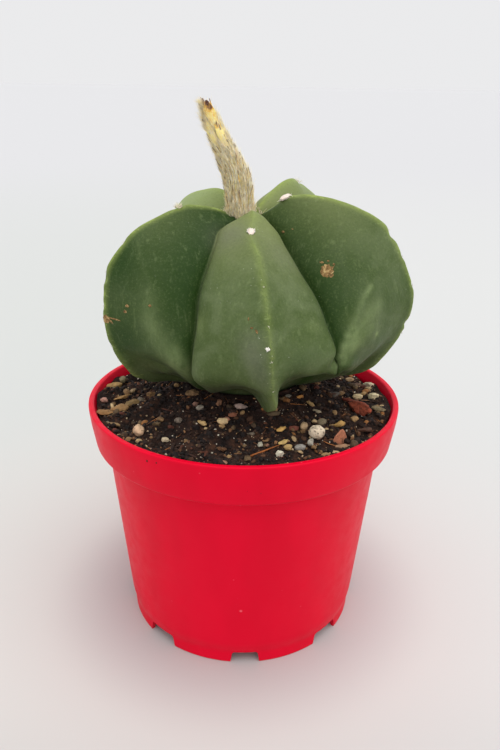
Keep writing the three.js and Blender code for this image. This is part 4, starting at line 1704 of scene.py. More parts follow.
@dataclass
class SoilSurface:
    """Everything that lies loose on the peat: crumbs, gravel, grit, bark and root fibres."""

    bed: SoilBed
    seed: int = 11
    crumbs: Strewn = Strewn(
        Stone("peat_crumb", 0.5, 0.45, Peat.wet, 0.15), "peat_crumbs", 4300, (0.22, 0.8), 2.0, CRUMB_COLOURS
    )
    lumps: Strewn = Strewn(
        Stone("peat_lump", 0.8, 0.6, Peat.wet, 0.4), "peat_lumps", 460, (0.6, 1.25), 1.8, LUMP_COLOURS
    )
    gravel: Strewn = Strewn(
        Stone("gravel_stone", 1.4, relief=0.15), "gravel", 270, (0.5, 1.5), 1.9, GRAVEL_COLOURS, False
    )
    grit: Strewn = Strewn(
        Stone("pale_grit", 0.5, 0.3, relief=0.08), "pale_grit", 560, (0.14, 0.42), 2.4, GRIT_COLOURS
    )
    bark_count: int = 130
    fibre_count: int = 46
    speck_count: int = 16
    neck_margin: float = 1.0
    crumb_cuts: tuple[int, ...] = (2, 3, 4, 5)
    stone_kinds: tuple[tuple[StoneForm, int], ...] = (
        (ROUND, 2), (SLAB, 2), (SLAB, 3), (SLAB, 5), (ROUND, 5), (CHIP, 5), (CHIP, 3),
    )
    heaps: tuple[Heap, ...] = (
        Heap((-32, -14), (8, 14), 1.5),
        Heap((19, -25), (14, 9), 1.0),
        Heap((35, -2), (7, 14), 1.0),
        Heap((-6, -20), (12, 8), 0.35),
        Heap((0, 38), (30, 6), 0.7),
    )
    bare: float = 0.2

    def __post_init__(self) -> None:
        """Starts the stream of numbers and works out where the soil lies open."""
        self.random = np.random.default_rng(self.seed)
        self.inner = RibPlan.neck[0][0] + self.neck_margin
        self.outer = self.bed.pot.rim_radius - self.bed.pot.lip_width - 0.7

    def build(self) -> None:
        """Models every loose thing and lays it on the bed."""
        cutter = StoneCutter()
        crumbs = [cutter.cut(CHIP, facets=cuts) for cuts in self.crumb_cuts]
        stones = [cutter.cut(form, facets=cuts) for form, cuts in self.stone_kinds]
        for kind, shapes in ((self.crumbs, crumbs), (self.lumps, crumbs), (self.gravel, stones)):
            self._strew(kind, shapes)
        self._strew(self.grit, crumbs[:2])
        self._lay_bark(crumbs)
        self._lay_landmarks(cutter)
        self._lay_fibres()
        self._stick_specks(crumbs)

    def _open_place(self, even: bool = True) -> tuple[float, float]:
        """Draws a place where the soil lies open.

        Args:
            even: Whether all open soil is as likely, or the heaps are likelier.

        Returns:
            The place across and along the pot.
        """
        while True:
            distance = math.sqrt(self.random.uniform(0, self.outer**2))
            angle = self.random.uniform(0, math.tau)
            x, y = distance * math.cos(angle), distance * math.sin(angle)
            if math.hypot(x - RibPlan.axis[0], y - RibPlan.axis[1]) < self.inner:
                continue
            density = self.bare + sum(heap.density(x, y) for heap in self.heaps)
            if even or self.random.uniform() < density:
                return x, y

    def _strew(self, kind: Strewn, shapes: Sequence[Template]) -> None:
        """Strews copies of templates over the soil as one piece.

        Args:
            kind: How many there are, how large they are and how they look.
            shapes: The templates.
        """
        copies = Copies(kind.name)
        smallest, largest = kind.sizes
        for _ in range(kind.count):
            size = smallest + (largest - smallest) * self.random.uniform() ** kind.skew
            x, y = self._open_place(kind.even)
            inset = min(1.0, (self.outer - size) / max(math.hypot(x, y), 1e-6))
            self._drop(copies, self._any_of(shapes), x * inset, y * inset, size)
        tints = kind.palette.pick(self.random, kind.count)
        copies.finish(kind.finish.material(), Slot.SOIL, tints, 48 if kind.even else 60)

    def _any_of(self, templates: Sequence[Template]) -> Template:
        """Draws one of several shapes."""
        return templates[self.random.integers(len(templates))]

    def _drop(self, copies: Copies, shape: Template, x: float, y: float, size: float) -> None:
        """Drops one copy on the soil, a little sunk and turned at random.

        Args:
            copies: The mesh that takes it.
            shape: Its template.
            x: Its place across the pot.
            y: Its place along the pot.
            size: Its half length.
        """
        draw = self.random
        stretch = draw.uniform(0.75, 1.2, 3)
        turn = turn_matrix(draw.uniform(0, math.tau), draw.normal(0, 0.35), draw.uniform(0, math.tau))
        places = (shape.places * stretch * size) @ turn.T
        level = self.bed.settle(x, y) + size * draw.uniform(-0.1, 0.35)
        copies.add(shape, (places + np.array([x, y, level])) * MM)

    def _lay_bark(self, shapes: Sequence[Template]) -> None:
        """Lays slivers of bark: long thin copies of the crumbs.

        Args:
            shapes: The crumbs' templates.
        """
        draw = self.random
        copies = Copies("bark_slivers")
        for _ in range(self.bark_count):
            x, y = self._open_place()
            size = np.array([draw.uniform(0.9, 2.3), draw.uniform(0.25, 0.6), draw.uniform(0.15, 0.35)])
            turn = turn_matrix(draw.uniform(0, math.tau), draw.normal(0, 0.25), 0)
            shape = self._any_of(shapes)
            level = self.bed.settle(x, y) + 0.25
            copies.add(shape, ((shape.places * size) @ turn.T + np.array([x, y, level])) * MM)
        finish = Stone("bark_sliver", grain=0.8, mottle=0.6, relief=0.2)
        copies.finish(finish.material(), Slot.SOIL, BARK_COLOURS.pick(draw, self.bark_count), 40)

    def _lay_landmarks(self, cutter: StoneCutter) -> None:
        """Models and lays the stones that stand out, each as its own piece.

        Args:
            cutter: What models the stones.
        """
        finishes = {
            PLAIN: Stone("washed_stone", grain=1.3, mottle=0.35, relief=0.12).material(),
            PITTED: Stone("pitted_stone", grain=1.2, mottle=0.22, pits=0.95).material(),
            LAVA: Stone("lava_stone", grain=0.9, mottle=0.75, relief=0.45).material(),
        }
        for mark in LANDMARKS:
            shape = cutter.cut(mark.form, fine=True, facets=mark.facets)
            turn = turn_matrix(math.radians(mark.yaw), math.radians(mark.lean), 0)
            level = self.bed.settle(*mark.place) + mark.lift * mark.size[2]
            places = (shape.places * np.array(mark.size)) @ turn.T
            copies = Copies(mark.name)
            copies.add(shape, (places + np.array([*mark.place, level])) * MM)
            copies.finish(finishes[mark.surface], Slot.SOIL, [screen(*mark.tint)], 70)

    def _lay_fibres(self) -> None:
        """Lays fine bent roots on the soil, among them the long one at the front."""
        draw = self.random
        strand = model_strand(rows=6)
        copies = Copies("root_fibres")
        laid = [((2.0, -33.8), (10.4, -28.6), 0.3)]
        for _ in range(self.fibre_count):
            x, y = self._open_place()
            angle, length = draw.uniform(0, math.tau), draw.uniform(1.8, 5.5)
            end = (x + length * math.cos(angle), y + length * math.sin(angle))
            if math.hypot(*end) < self.outer:
                laid.append(((x, y), end, draw.uniform(0.06, 0.13)))
        for start, end, radius in laid:
            root = np.array([*start, self.bed.settle(*start) + 0.35])
            tip = np.array([*end, self.bed.settle(*end) + 0.45])
            length = float(np.linalg.norm(tip - root))
            bow = draw.normal(0, 0.16, 3) * np.array([1, 1, 0.4])
            way = (tip - root) / length - bow
            scale = float(np.linalg.norm(way))
            lay_strand(copies, strand, root, way / scale, bow / scale, length * scale, radius)
        tints = FIBRE_COLOURS.pick(draw, len(laid))
        tints[0] = screen(158, 92, 44)
        fibre = Tuft("root_fibre", tip=screen(120, 80, 50), sheen=0.0)
        copies.finish(fibre.material(), Slot.SOIL, tints)

    def _stick_specks(self, shapes: Sequence[Template]) -> None:
        """Sticks a few specks of soil to the outside of the band and to the lip.

        Args:
            shapes: The crumbs' templates.
        """
        draw = self.random
        copies = Copies("rim_specks")
        placed = [(-121.4, 63.9, 0.42), (-117.7, 64.2, 0.34)]
        for _ in range(self.speck_count):
            placed.append((draw.uniform(0, 360), draw.uniform(57, 64), draw.uniform(0.1, 0.22)))
        band = self.bed.pot.outline()[7:11]
        levels, radii = [height for _, height, _ in band], [radius for radius, _, _ in band]
        for azimuth, level, size in placed:
            angle = math.radians(azimuth)
            way = np.array([math.cos(angle), math.sin(angle), 0])
            seat = way * float(np.interp(level, levels, radii)) + np.array([0, 0, level])
            shape = self._any_of(shapes)
            squashed = (shape.places * np.array([0.35, 0.8, 1.1]) * size) @ turn_matrix(angle, 0, 0).T
            copies.add(shape, (squashed + seat) * MM)
        tints = CRUMB_COLOURS.pick(draw, len(placed))
        soil = Stone("dried_soil", grain=0.4, dust=Peat.wet)
        copies.finish(soil.material(), Slot.SOIL, tints, 50)


# ---------------------------------------------------------------- the plant


@dataclass(frozen=True)
class Nick:
    """A small dent in a crest, pressed towards the plant's axis."""

    place: Place
    depth: float
    width: float


@dataclass(frozen=True)
class Pull:
    """A soft pull on the skin round a place."""

    place: Place
    move: Place
    width: float


@dataclass(frozen=True)
class Fold:
    """A soft raised fold down a flank, with a painted highlight: its line, and its strength and half width
    at both ends.
    """

    line: tuple[Place, ...]
    strength: tuple[float, float]
    width: tuple[float, float]


@dataclass(frozen=True)
class Patch:
    """A soft cloud in the skin's colour: painted shade (darker green), painted light (paler green) and grey
    bloom.
    """

    place: Place
    width: float
    tone: float
    bloom: float = 0.0


@dataclass(frozen=True)
class Scar:
    """A patch of corky scar tissue on the skin: its half width, half height and slant."""

    place: Place
    half_width: float
    half_height: float
    slant: float = 0.0


@dataclass
class CactusBody:
    """The skin of the five ribs, from the crown down to the neck in the soil."""

    plan: RibPlan = field(default_factory=RibPlan)
    flank_columns: int = 26
    crest_crowding: float = 1.5
    crown_rows: int = 100
    keel_rows: int = 64
    neck_rows: int = 10
    young_dent: tuple[float, float] = (0.55, 1.7)
    old_dent: tuple[float, float] = (0.25, 0.9)
    # Painted shade and light in the skin's green: whole ribs darker (values above 0) and paler (below 0) by
    # the light they get, darker towards the grooves, under the keels and low on the front rib.
    rib_shading: tuple[float, ...] = (0.0, 0.36, -0.5, -0.8, 0.52)
    groove_shades: tuple[float, ...] = (0.1, 0.45, 0.3, 0.3, 0.45)
    keel_shades: tuple[float, ...] = (0.0, 0.2, 0.2, 0.2, 0.4)
    low_shade: float = 0.3
    groove_reach: tuple[float, float] = (17.0, 9.0)
    undercuts: tuple[float, ...] = (0.26, 0.4, 0.4, 0.4, 0.46)
    keel_lifts: tuple[float, ...] = (1.9, 0.5, 0.5, 0.5, 1.0)
    old_stations: tuple[float, ...] = (0.3, 0.39, 0.48, 0.57)
    nicks: tuple[Nick, ...] = tuple(Nick(*row) for row in (
        ((-34.8, -14, 101.6), 1.8, 1), ((37.2, -4.3, 111.5), 0.8, 1.2), ((42.2, -5.6, 88.6), 0.8, 1),
        ((40.2, -5.2, 80.5), 0.5, 0.8), ((26, 35, 96), 0.7, 1.1), ((-24.5, 31, 90), 0.7, 1.2),
    ))
    pulls: tuple[Pull, ...] = tuple(Pull(*row) for row in (
        ((6, -6, 111.6), (1.3, -0.4, 0.9), 4), ((8, -10, 107.6), (0.8, -0.4, 0.4), 5),
        ((-5.3, -5, 111.8), (-2.2, -0.3, 0.6), 4.6), ((-8.5, -8, 107), (-1, -0.3, 0.3), 4.8),
        ((1.5, -2, 115.5), (0.3, 0, 0.7), 4), ((3.4, -5, 114.8), (0.6, -0.2, 0.7), 2.6),
        ((2.6, -14, 113.2), (-1.2, 0, 0), 5), ((-16.2, -5.2, 116.3), (0.2, 0, 1.3), 4.5),
        ((12, 16, 121), (1.2, 0, 0.6), 5), ((-32.6, -12, 103), (-0.9, 0, 0.3), 4),
        ((-26, -11, 111), (-0.6, 0, 1.3), 9), ((-31, -13, 78.5), (1, 0, 1.9), 7),
        ((-16.5, -19.5, 77.3), (0, 0.3, 1.9), 4.4), ((-19.5, -10, 71.5), (0, 0, 2.5), 4.2),
        ((-16, -15.5, 74.2), (0, 0.2, 2), 3.2), ((-26, -11, 72.5), (0, 0, 1.2), 3),
        ((-21.5, -18.5, 79), (0.3, 2, 0.7), 4.4), ((40, -5.4, 107), (-1.1, 0, -0.7), 7),
        ((41.8, -6, 94), (0.7, 0, 0), 6), ((38, -5, 80), (-1.3, 0, 1), 7),
        ((12, -27.5, 79), (0, 0.6, 2.1), 4.5), ((19.5, -20.5, 77.6), (0, 0.4, 1.9), 4.6),
        ((13.8, -17.2, 73.6), (0, 0.3, 4.2), 4.8), ((19, -16.6, 74.6), (0, 0.2, 3.6), 4.6),
        ((23.4, -17.2, 76.4), (0, 0.2, 1.9), 3.2), ((-1, -16, 71.8), (0, 0, 2.9), 4),
        ((18.5, -24, 92), (-1.1, 0, 0), 5.5), ((-1.5, -22, 75.5), (0, 0.3, 0.5), 4.5),
        ((0.8, -26.5, 76), (0, 0.2, 1), 2.2), ((7.4, -29.2, 74.8), (1.2, 0, -0.6), 2.2),
        ((24.5, -21.4, 85), (0, -0.9, 0), 3), ((25.2, -22, 82.8), (-1.5, 0.5, 0.4), 3.6),
        ((23.2, -23.4, 83), (-0.5, 1.7, 0.2), 2.3), ((26, -20, 82.2), (0.3, -1.8, 0.3), 2.2),
        ((29.5, -17.5, 83.5), (-0.3, 1.4, 0), 4), ((-11, -24, 93), (0.9, 0.2, 0), 5),
        ((-9.7, -25, 80), (-1.4, -0.4, -0.3), 4), ((7, 11.5, 120.5), (0, 0, -1.1), 4),
    ))
    web_depth: float = 4.6
    web_width: float = 3.8
    web_stations: tuple[float, ...] = (0.52, 0.59, 0.77, 0.87)
    folds: tuple[Fold, ...] = tuple(Fold(*row) for row in (
        (((23.4, -22.8, 84.4), (24.6, -21.5, 89.4), (26.7, -19.6, 94.6), (28.4, -17.3, 98.4),
          (30.5, -14.8, 100.9)), (1, 0.5), (0.8, 0.6)),
        (((23.1, -22.3, 85.1), (25.6, -21.5, 89.2), (27.7, -20.2, 92), (29.7, -18.6, 94.3),
          (32.7, -15.7, 96.2)), (0.8, 0.3), (0.9, 1.6)),
        (((22.4, -23.2, 82.9), (23.8, -22.9, 84.3), (26.2, -21.8, 87.5), (28.8, -20.1, 90.5),
          (30.4, -19, 91.2)), (0.95, 0.35), (1.1, 1.9)),
        (((-26, -11.9, 111.1), (-24.4, -16, 106.2), (-22.3, -19, 101.2)), (0.16, 0.08), (0.45, 0.7)),
        (((-22.4, -19.9, 98.6), (-22.8, -21, 93), (-20.4, -22.1, 89.2), (-17.4, -22.8, 84.8),
          (-14, -20.8, 79)), (0.16, 1), (2.4, 2.8)),
    ))
    fold_width: float = 1.7
    fold_height: float = 0.5
    # Most clouds paint shade (darker) and light (paler) over the flanks and grooves; the bloom-only ones and
    # the small pale spot at the nick on the left rib are the skin's own colour.
    patches: tuple[Patch, ...] = tuple(Patch(*row) for row in (
        ((-3.5, -10.5, 112), 5, 0, 0.5), ((9, -14, 108.5), 4.5, 0, 0.25),
        ((1.5, -30, 90.8), 3.5, 0.05, 0.35), ((2.9, -30.9, 87), 3, 0.1, 0.35),
        ((4.4, -31.1, 83.2), 2.6, 0.05, 0.3), ((13.1, -28.6, 86.8), 4, 0.38), ((11, -28.5, 82), 3, 0.2),
        ((17.8, -26, 88.2), 2.8, 0.25), ((17, -24.5, 93.5), 3, -0.3), ((-10.5, -22, 93), 3.8, -0.5),
        ((7, -31, 79), 3, -0.25), ((7.6, -29.8, 75), 3, -0.6), ((37, -7, 108), 5, -0.4),
        ((38, -8.5, 89), 4.5, -0.5), ((-31.5, -12.5, 105.5), 6.5, 0.4), ((-29.5, -16.5, 87.5), 5, 0.3),
        ((27.4, -18.2, 82.5), 2.6, 0.05), ((27.8, -20.5, 88), 2.4, -0.5), ((-24, -13.5, 78), 5, -0.4),
        ((-35.1, -14.2, 100.8), 0.6, -2), ((-8, -25.5, 80.5), 4, 0.15), ((30.5, -18, 92.5), 4.5, -0.3),
        ((24.5, -20.5, 93.5), 2.6, -0.25), ((32.6, -16.4, 89.3), 1, -0.9), ((30.2, -18.2, 85), 1.2, -0.8),
        ((22, -24, 85.2), 1.2, -0.7),
    ))
    crest_stations: tuple[float, ...] = (0.1, 0.32, 0.44, 0.6)
    front_crest: tuple[float, ...] = (0.5, 0.5, 0.32, 0.2)
    side_crest: tuple[float, ...] = (1.2, 1.2, 0.9, 0.7)
    fleck_shifts: tuple[float, ...] = (-0.03, -0.1, -0.08, -0.08, -0.13)
    scars: tuple[Scar, ...] = tuple(Scar(*row) for row in (
        ((19.8, -13.6, 104.1), 1.85, 2, 8), ((18.5, -12.4, 106), 0.6, 0.3),
        ((20, -12.7, 106.5), 0.34, 0.26), ((21.4, -13.3, 105.8), 0.4, 0.34),
        ((-34.4, -14.4, 91.3), 1.7, 1.3), ((-31.8, -15.7, 91.8), 2, 0.24, -4),
        ((-32.9, -15.3, 90.9), 0.8, 0.3, -35), ((-28.2, -17.5, 95.8), 0.62, 0.42),
        ((-28.8, -17.3, 94.3), 0.56, 0.46), ((-22.4, -20.5, 96.8), 0.5, 0.36),
        ((9.4, -4.3, 111.6), 0.55, 0.36), ((11.6, -5.2, 112.5), 0.3, 0.16), ((1, -28.2, 96.4), 0.16, 0.5),
        ((1.8, -29, 94.5), 0.4, 0.26), ((2.9, -29.6, 93.9), 0.28, 0.66, 25), ((30, 24, 98), 0.7, 0.9),
        ((-12, 33, 96), 0.5, 0.8), ((-35, 8, 92), 0.6, 0.5), ((12, 30, 88), 0.4, 0.6),
    ))
    scar_height: float = 0.16
    scar_sink: float = 0.06
    scar_thickness: float = 0.12
    tree: BVHTree | None = None

    def build(self) -> None:
        """Shapes the skin from a sphere, rounds and dents it, and dresses it."""
        stations = self._stations()
        columns, rows = 2 * self.flank_columns * len(self.plan.crests), len(stations) - 1
        skin, row, column = add_sphere("cactus_skin_ribs", columns, rows)
        rib, station = column // (2 * self.flank_columns), stations[row]
        places, crest_mm, groove_mm = self._skin_points(column, station)
        places = self.pulled(places)
        places[row == rows] = (*self.plan.axis, self.plan.neck[-1][1])
        move_corners(skin, places * MM)
        ribbed = 1 - smooth_step(station, 0.72, 0.84)
        crest_zone = (1 - smooth_step(crest_mm, 1.0, 7.0)) * ribbed
        fold = self._folds(places, groove_mm, crest_mm, station)
        self._weigh(skin, "crest", (1 - smooth_step(crest_mm, 0.4, 1.7)) * ribbed)
        self._weigh(skin, "crest_zone", crest_zone * smooth_step(station, 0.04, 0.15))
        self._weigh(skin, "flank", ribbed * smooth_step(station, 0.05, 0.2))
        self._weigh(skin, "fold", fold * ribbed)
        apply_modifier(skin, "SMOOTH", factor=0.5, iterations=10, vertex_group="crest")
        ripple(skin, "crest_waves", 7.0, 0.5, group="crest_zone", layers=1)
        ripple(skin, "flank_waves", 13.0, 0.7, group="flank", layers=1)
        lift = {"strength": self.fold_height * MM, "mid_level": 0.0, "vertex_group": "fold"}
        apply_modifier(skin, "DISPLACE", **lift)
        move_corners(skin, self._dented(corners(skin) / MM) * MM)
        smooth(skin)
        stored = {"crest_mm": crest_mm + 9 * (1 - ribbed), "groove_mm": groove_mm}
        stored |= {"station": station, "fold_highlight": fold}
        stored |= self._clouds(places, rib, station, groove_mm)
        stored |= self._crest_paint(skin, rib, station, crest_mm)
        for name, values in stored.items():
            paint(skin, name, values)
        self.tree = BVHTree.FromObject(skin, bpy.context.evaluated_depsgraph_get())
        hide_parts(Node.PLANT.value)
        finish_piece(skin, CactusSkin().material())
        self._grow_scars()

    def _clouds(
        self, places: Array, rib: Array, station: Array, groove_mm: Array
    ) -> dict[str, Array]:
        """The soft clouds of painted shade, painted light and grey bloom in the skin's colour.

        Args:
            places: The vertices, in millimetres.
            rib: The rib of each.
            station: Their stations.
            groove_mm: Their distances to their groove.

        Returns:
            The painted shade (above 0) and painted light (below 0) as one value, and the grey bloom, under
            the names that CactusSkin reads.
        """
        # Painted shade and light: each rib's own value, darker towards its groove and low on the front rib.
        reach = np.interp(station, (0.32, 0.5), self.groove_reach)
        sunk = 1 - smooth_step(groove_mm / reach, 0.05, 1)
        tone = np.array(self.rib_shading)[rib] + np.array(self.groove_shades)[rib] * sunk
        tone += self.low_shade * (rib == 0) * smooth_step(station, 0.46, 0.66)
        bloom = np.zeros(len(tone))
        for patch in self.patches:
            cover = bell(np.linalg.norm(places - np.array(patch.place), axis=1), patch.width)
            tone += patch.tone * cover
            bloom += patch.bloom * cover
        return {"tone": tone, "bloom": bloom}

    def _crest_paint(self, skin: Piece, rib: Array, station: Array, crest_mm: Array) -> dict[str, Array]:
        """What the skin's colour needs along the crests and under the keels.

        Args:
            skin: The skin, whose faces say what hangs over.
            rib: The rib of each vertex.
            station: Their stations.
            crest_mm: Their distances to their crest.

        Returns:
            The crest line's strength, the shift of the flecks and the shade underneath, under the
            names that CactusSkin reads.
        """
        levels = (np.interp(station, self.crest_stations, c) for c in (self.front_crest, self.side_crest))
        keel_flecks = 0.1 * (rib == 0) * (1 - smooth_step(crest_mm, 1, 5))
        low = smooth_step(station, 0.6, 0.67)
        # Painted shade under the keels, and on skin that faces down, low on the plant.
        keel = (1 - smooth_step(crest_mm, 9, 12)) * np.array(self.keel_shades)[rib]
        fall = np.array([-vertex.normal.z for vertex in skin.data.vertices])
        return {
            "crest_share": np.where(rib == 0, *levels),
            "fleck_shift": np.array(self.fleck_shifts)[rib] + keel_flecks,
            "under": low * np.maximum(keel, 0.5 * smooth_step(fall, 0.45, 0.85)),
        }

    def pulled(self, places: Array) -> Array:
        """Places of the plain skin after its soft pulls, in millimetres.

        Args:
            places: The plain places.

        Returns:
            The pulled places.
        """
        moved = places.copy()
        for pull in self.pulls:
            away = np.linalg.norm(places - np.array(pull.place), axis=-1)
            moved += bell(away, pull.width)[..., None] * np.array(pull.move)
        return moved

    def areole_places(self) -> list[tuple[int, float, bool]]:
        """Every wool cushion as its rib, its station and whether it is the rib's youngest.

        Returns:
            One row per cushion.
        """
        found = []
        for rib, crest in enumerate(self.plan.crests):
            found.append((rib, crest.young_station(), True))
            found += [(rib, station, False) for station in self.old_stations]
        return found

    def _stations(self) -> Array:
        """The station of every row of the skin.

        Returns:
            Stations from 0 at the crown to 1 in the soil.
        """
        plan = self.plan
        crown = np.linspace(0, plan.belly_station, self.crown_rows + 1)
        keel = np.linspace(plan.belly_station, plan.neck_station, self.keel_rows + 1)[1:]
        neck = np.linspace(plan.neck_station, 1, self.neck_rows + 1)[1:]
        return np.concatenate([crown, keel, neck, [1.0]])

    def _skin_points(self, column: Array, station: Array) -> tuple[Array, Array, Array]:
        """Places of the skin's vertices, crowded towards the crests.

        Args:
            column: The column of each vertex.
            station: The station of each vertex.

        Returns:
            The places, and each one's distance across the flank to its crest and its groove.
        """
        places = np.zeros((len(column), 3))
        crest_mm, groove_mm = np.zeros(len(column)), np.zeros(len(column))
        per_rib = 2 * self.flank_columns
        for rib, crest in enumerate(self.plan.crests):
            step = column - rib * per_rib
            for side in (1, -1):
                first = side > 0
                low, high = (0, self.flank_columns) if first else (self.flank_columns, per_rib)
                mine = (step >= low) & (step < high)
                groove = self.plan.grooves[rib - 1 if first else rib]
                part = step[mine] / self.flank_columns
                share = 1 - (1 - (part if first else 2 - part)) ** self.crest_crowding
                here = station[mine]
                points, span = self.plan.flank(crest, groove, side, here, share)
                from_crest = (1 - share) * span
                waist = smooth_step(here, 0.55, 0.68) * (1 - smooth_step(here, 0.8, 0.86))
                waist *= smooth_step(from_crest, 0.6, 3.5) * (1 - smooth_step(from_crest, 7, 15))
                angle = np.radians(crest.bearing(here))
                aside = np.stack([-np.sin(angle), np.cos(angle)], axis=1)
                offset = ((points[:, :2] - self.plan.axis) * aside).sum(axis=1)
                points[:, :2] -= (self.undercuts[rib] * waist * offset)[:, None] * aside
                points[:, 2] += self.keel_lifts[rib] * waist
                if groove is self.plan.grooves[0]:
                    points[:, :2] += self._web(here, share * span)
                places[mine] = points
                crest_mm[mine], groove_mm[mine] = from_crest, share * span
        return places, crest_mm, groove_mm

    def _web(self, station: Array, groove_mm: Array) -> Array:
        """How far the web that ends the front right groove pushes points out, in plan.

        Args:
            station: The points' stations.
            groove_mm: Their distances to the groove.

        Returns:
            One move per point, in millimetres.
        """
        first, full, fading, last = self.web_stations
        window = smooth_step(station, first, full) * (1 - smooth_step(station, fading, last))
        depth = self.web_depth * window * bell(groove_mm, self.web_width)
        return depth[:, None] * level_way(math.radians(self.plan.grooves[0].azimuth))[:2]

    def _weigh(self, skin: Piece, name: str, weights: Array) -> None:
        """Makes a vertex group whose weights follow a list of shares.

        Args:
            skin: The skin.
            name: The group's name.
            weights: One share per vertex.
        """
        group = skin.vertex_groups.new(name=name)
        steps = 20
        levels = np.rint(weights * steps).astype(int)
        for level in range(1, steps + 1):
            chosen = np.nonzero(levels == level)[0].tolist()
            if chosen:
                group.add(chosen, level / steps, "REPLACE")

    def _folds(self, places: Array, groove_mm: Array, crest_mm: Array, station: Array) -> Array:
        """How strongly each vertex belongs to a fold that runs down a flank.

        Args:
            places: The vertices, in millimetres.
            groove_mm: Their distances to their groove.
            crest_mm: Their distances to their crest.
            station: Their stations.

        Returns:
            Shares from 0 to 1.
        """
        fold = np.zeros(len(places))
        for crease in self.folds:
            path = np.array(crease.line)
            for step, (start, end) in enumerate(zip(path, path[1:])):
                along = end - start
                part = np.clip((places - start) @ along / (along @ along), 0, 1)
                away = np.linalg.norm(places - start - part[:, None] * along, axis=1)
                reach = (step + part) / (len(path) - 1)
                strength = np.interp(reach, (0, 1), crease.strength)
                width = np.interp(reach, (0, 1), crease.width)
                fold = np.maximum(fold, strength * bell(away, width))
        share = groove_mm / np.maximum(groove_mm + crest_mm, 1e-6)
        middle = np.interp(station, (0.3, 0.8), (0.62, 0.4))
        away = (share - middle) * (groove_mm + crest_mm)
        window = smooth_step(station, 0.36, 0.5) * (1 - smooth_step(station, 0.7, 0.8))
        behind = smooth_step(places[:, 1], 0, 4)
        return np.maximum(fold, behind * window * bell(away, self.fold_width))

    def _dented(self, places: Array) -> Array:
        """Presses a dent under every wool cushion and every nick.

        Args:
            places: The vertices, in millimetres.

        Returns:
            The dented places.
        """
        dents = []
        for rib, station, young in self.areole_places():
            crest = self.plan.crests[rib]
            middle = self.pulled(self.plan.line_point(crest, np.array(station)))
            normal = self.plan.crest_normal(crest, station)
            dents.append((middle, normal, *(self.young_dent if young else self.old_dent)))
        for nick in self.nicks:
            middle = np.array(nick.place)
            way = middle - np.array([*self.plan.axis, nick.place[2] - 8])
            dents.append((middle, unit(way), nick.depth, nick.width))
        moved = places.copy()
        for middle, normal, depth, width in dents:
            away = np.linalg.norm(places - middle, axis=1)
            moved -= depth * bell(away, width)[:, None] * normal
        return moved

    def _grow_scars(self) -> None:
        """Models one scar as a low crust, and copies it onto the skin wherever there is one."""
        clear_selection()
        bpy.ops.mesh.primitive_circle_add(vertices=18, radius=1, fill_type="NGON")
        crust = name_newest("crust")
        with HandEdit(crust) as edit:
            edit.everything()
            for _ in range(3):
                bpy.ops.mesh.inset(thickness=0.22)
            bpy.ops.mesh.poke()
        shape = Template.take(crust)
        random = np.random.default_rng(4)
        copies = Copies("corky_scars")
        for scar in self.scars:
            middle, normal = self.on_skin(np.array(scar.place))
            sideways, upward = across(normal)
            slant = math.radians(scar.slant)
            ragged = 1 + random.normal(0, 0.12, len(shape.places))
            u = shape.places[:, 0] * ragged * scar.half_width
            v = shape.places[:, 1] * ragged * scar.half_height
            u, v = u * math.cos(slant) - v * math.sin(slant), u * math.sin(slant) + v * math.cos(slant)
            rim = np.linalg.norm(shape.places[:, :2], axis=1)
            height = self.scar_height * (1 - rim**4) - self.scar_sink
            height = height + random.normal(0, 0.035, len(rim)) * (rim < 0.9)
            places = middle + u[:, None] * sideways + v[:, None] * upward
            for index, place in enumerate(places):
                near, out = self.on_skin(place)
                places[index] = near + height[index] * out
            copies.add(shape, places * MM)
        inward = ("SOLIDIFY", {"thickness": self.scar_thickness * MM, "offset": -1.0})
        copies.finish(Cork().material(), Slot.SKIN, angle=50, shaping=(inward,))

    def on_skin(self, place: Array) -> tuple[Array, Array]:
        """The nearest point of the finished skin and its direction outwards."""
        near, normal, _, _ = self.tree.find_nearest(Vector(place * MM))
        return np.array(near) / MM, np.array(normal)


@dataclass(frozen=True)
class WoolStyle:
    """How a wool cushion looks: its hairs, their length and how far they stand off."""

    hairs: int
    length: tuple[float, float]
    radius: float
    spread: float
    core: float
    colour: Colour


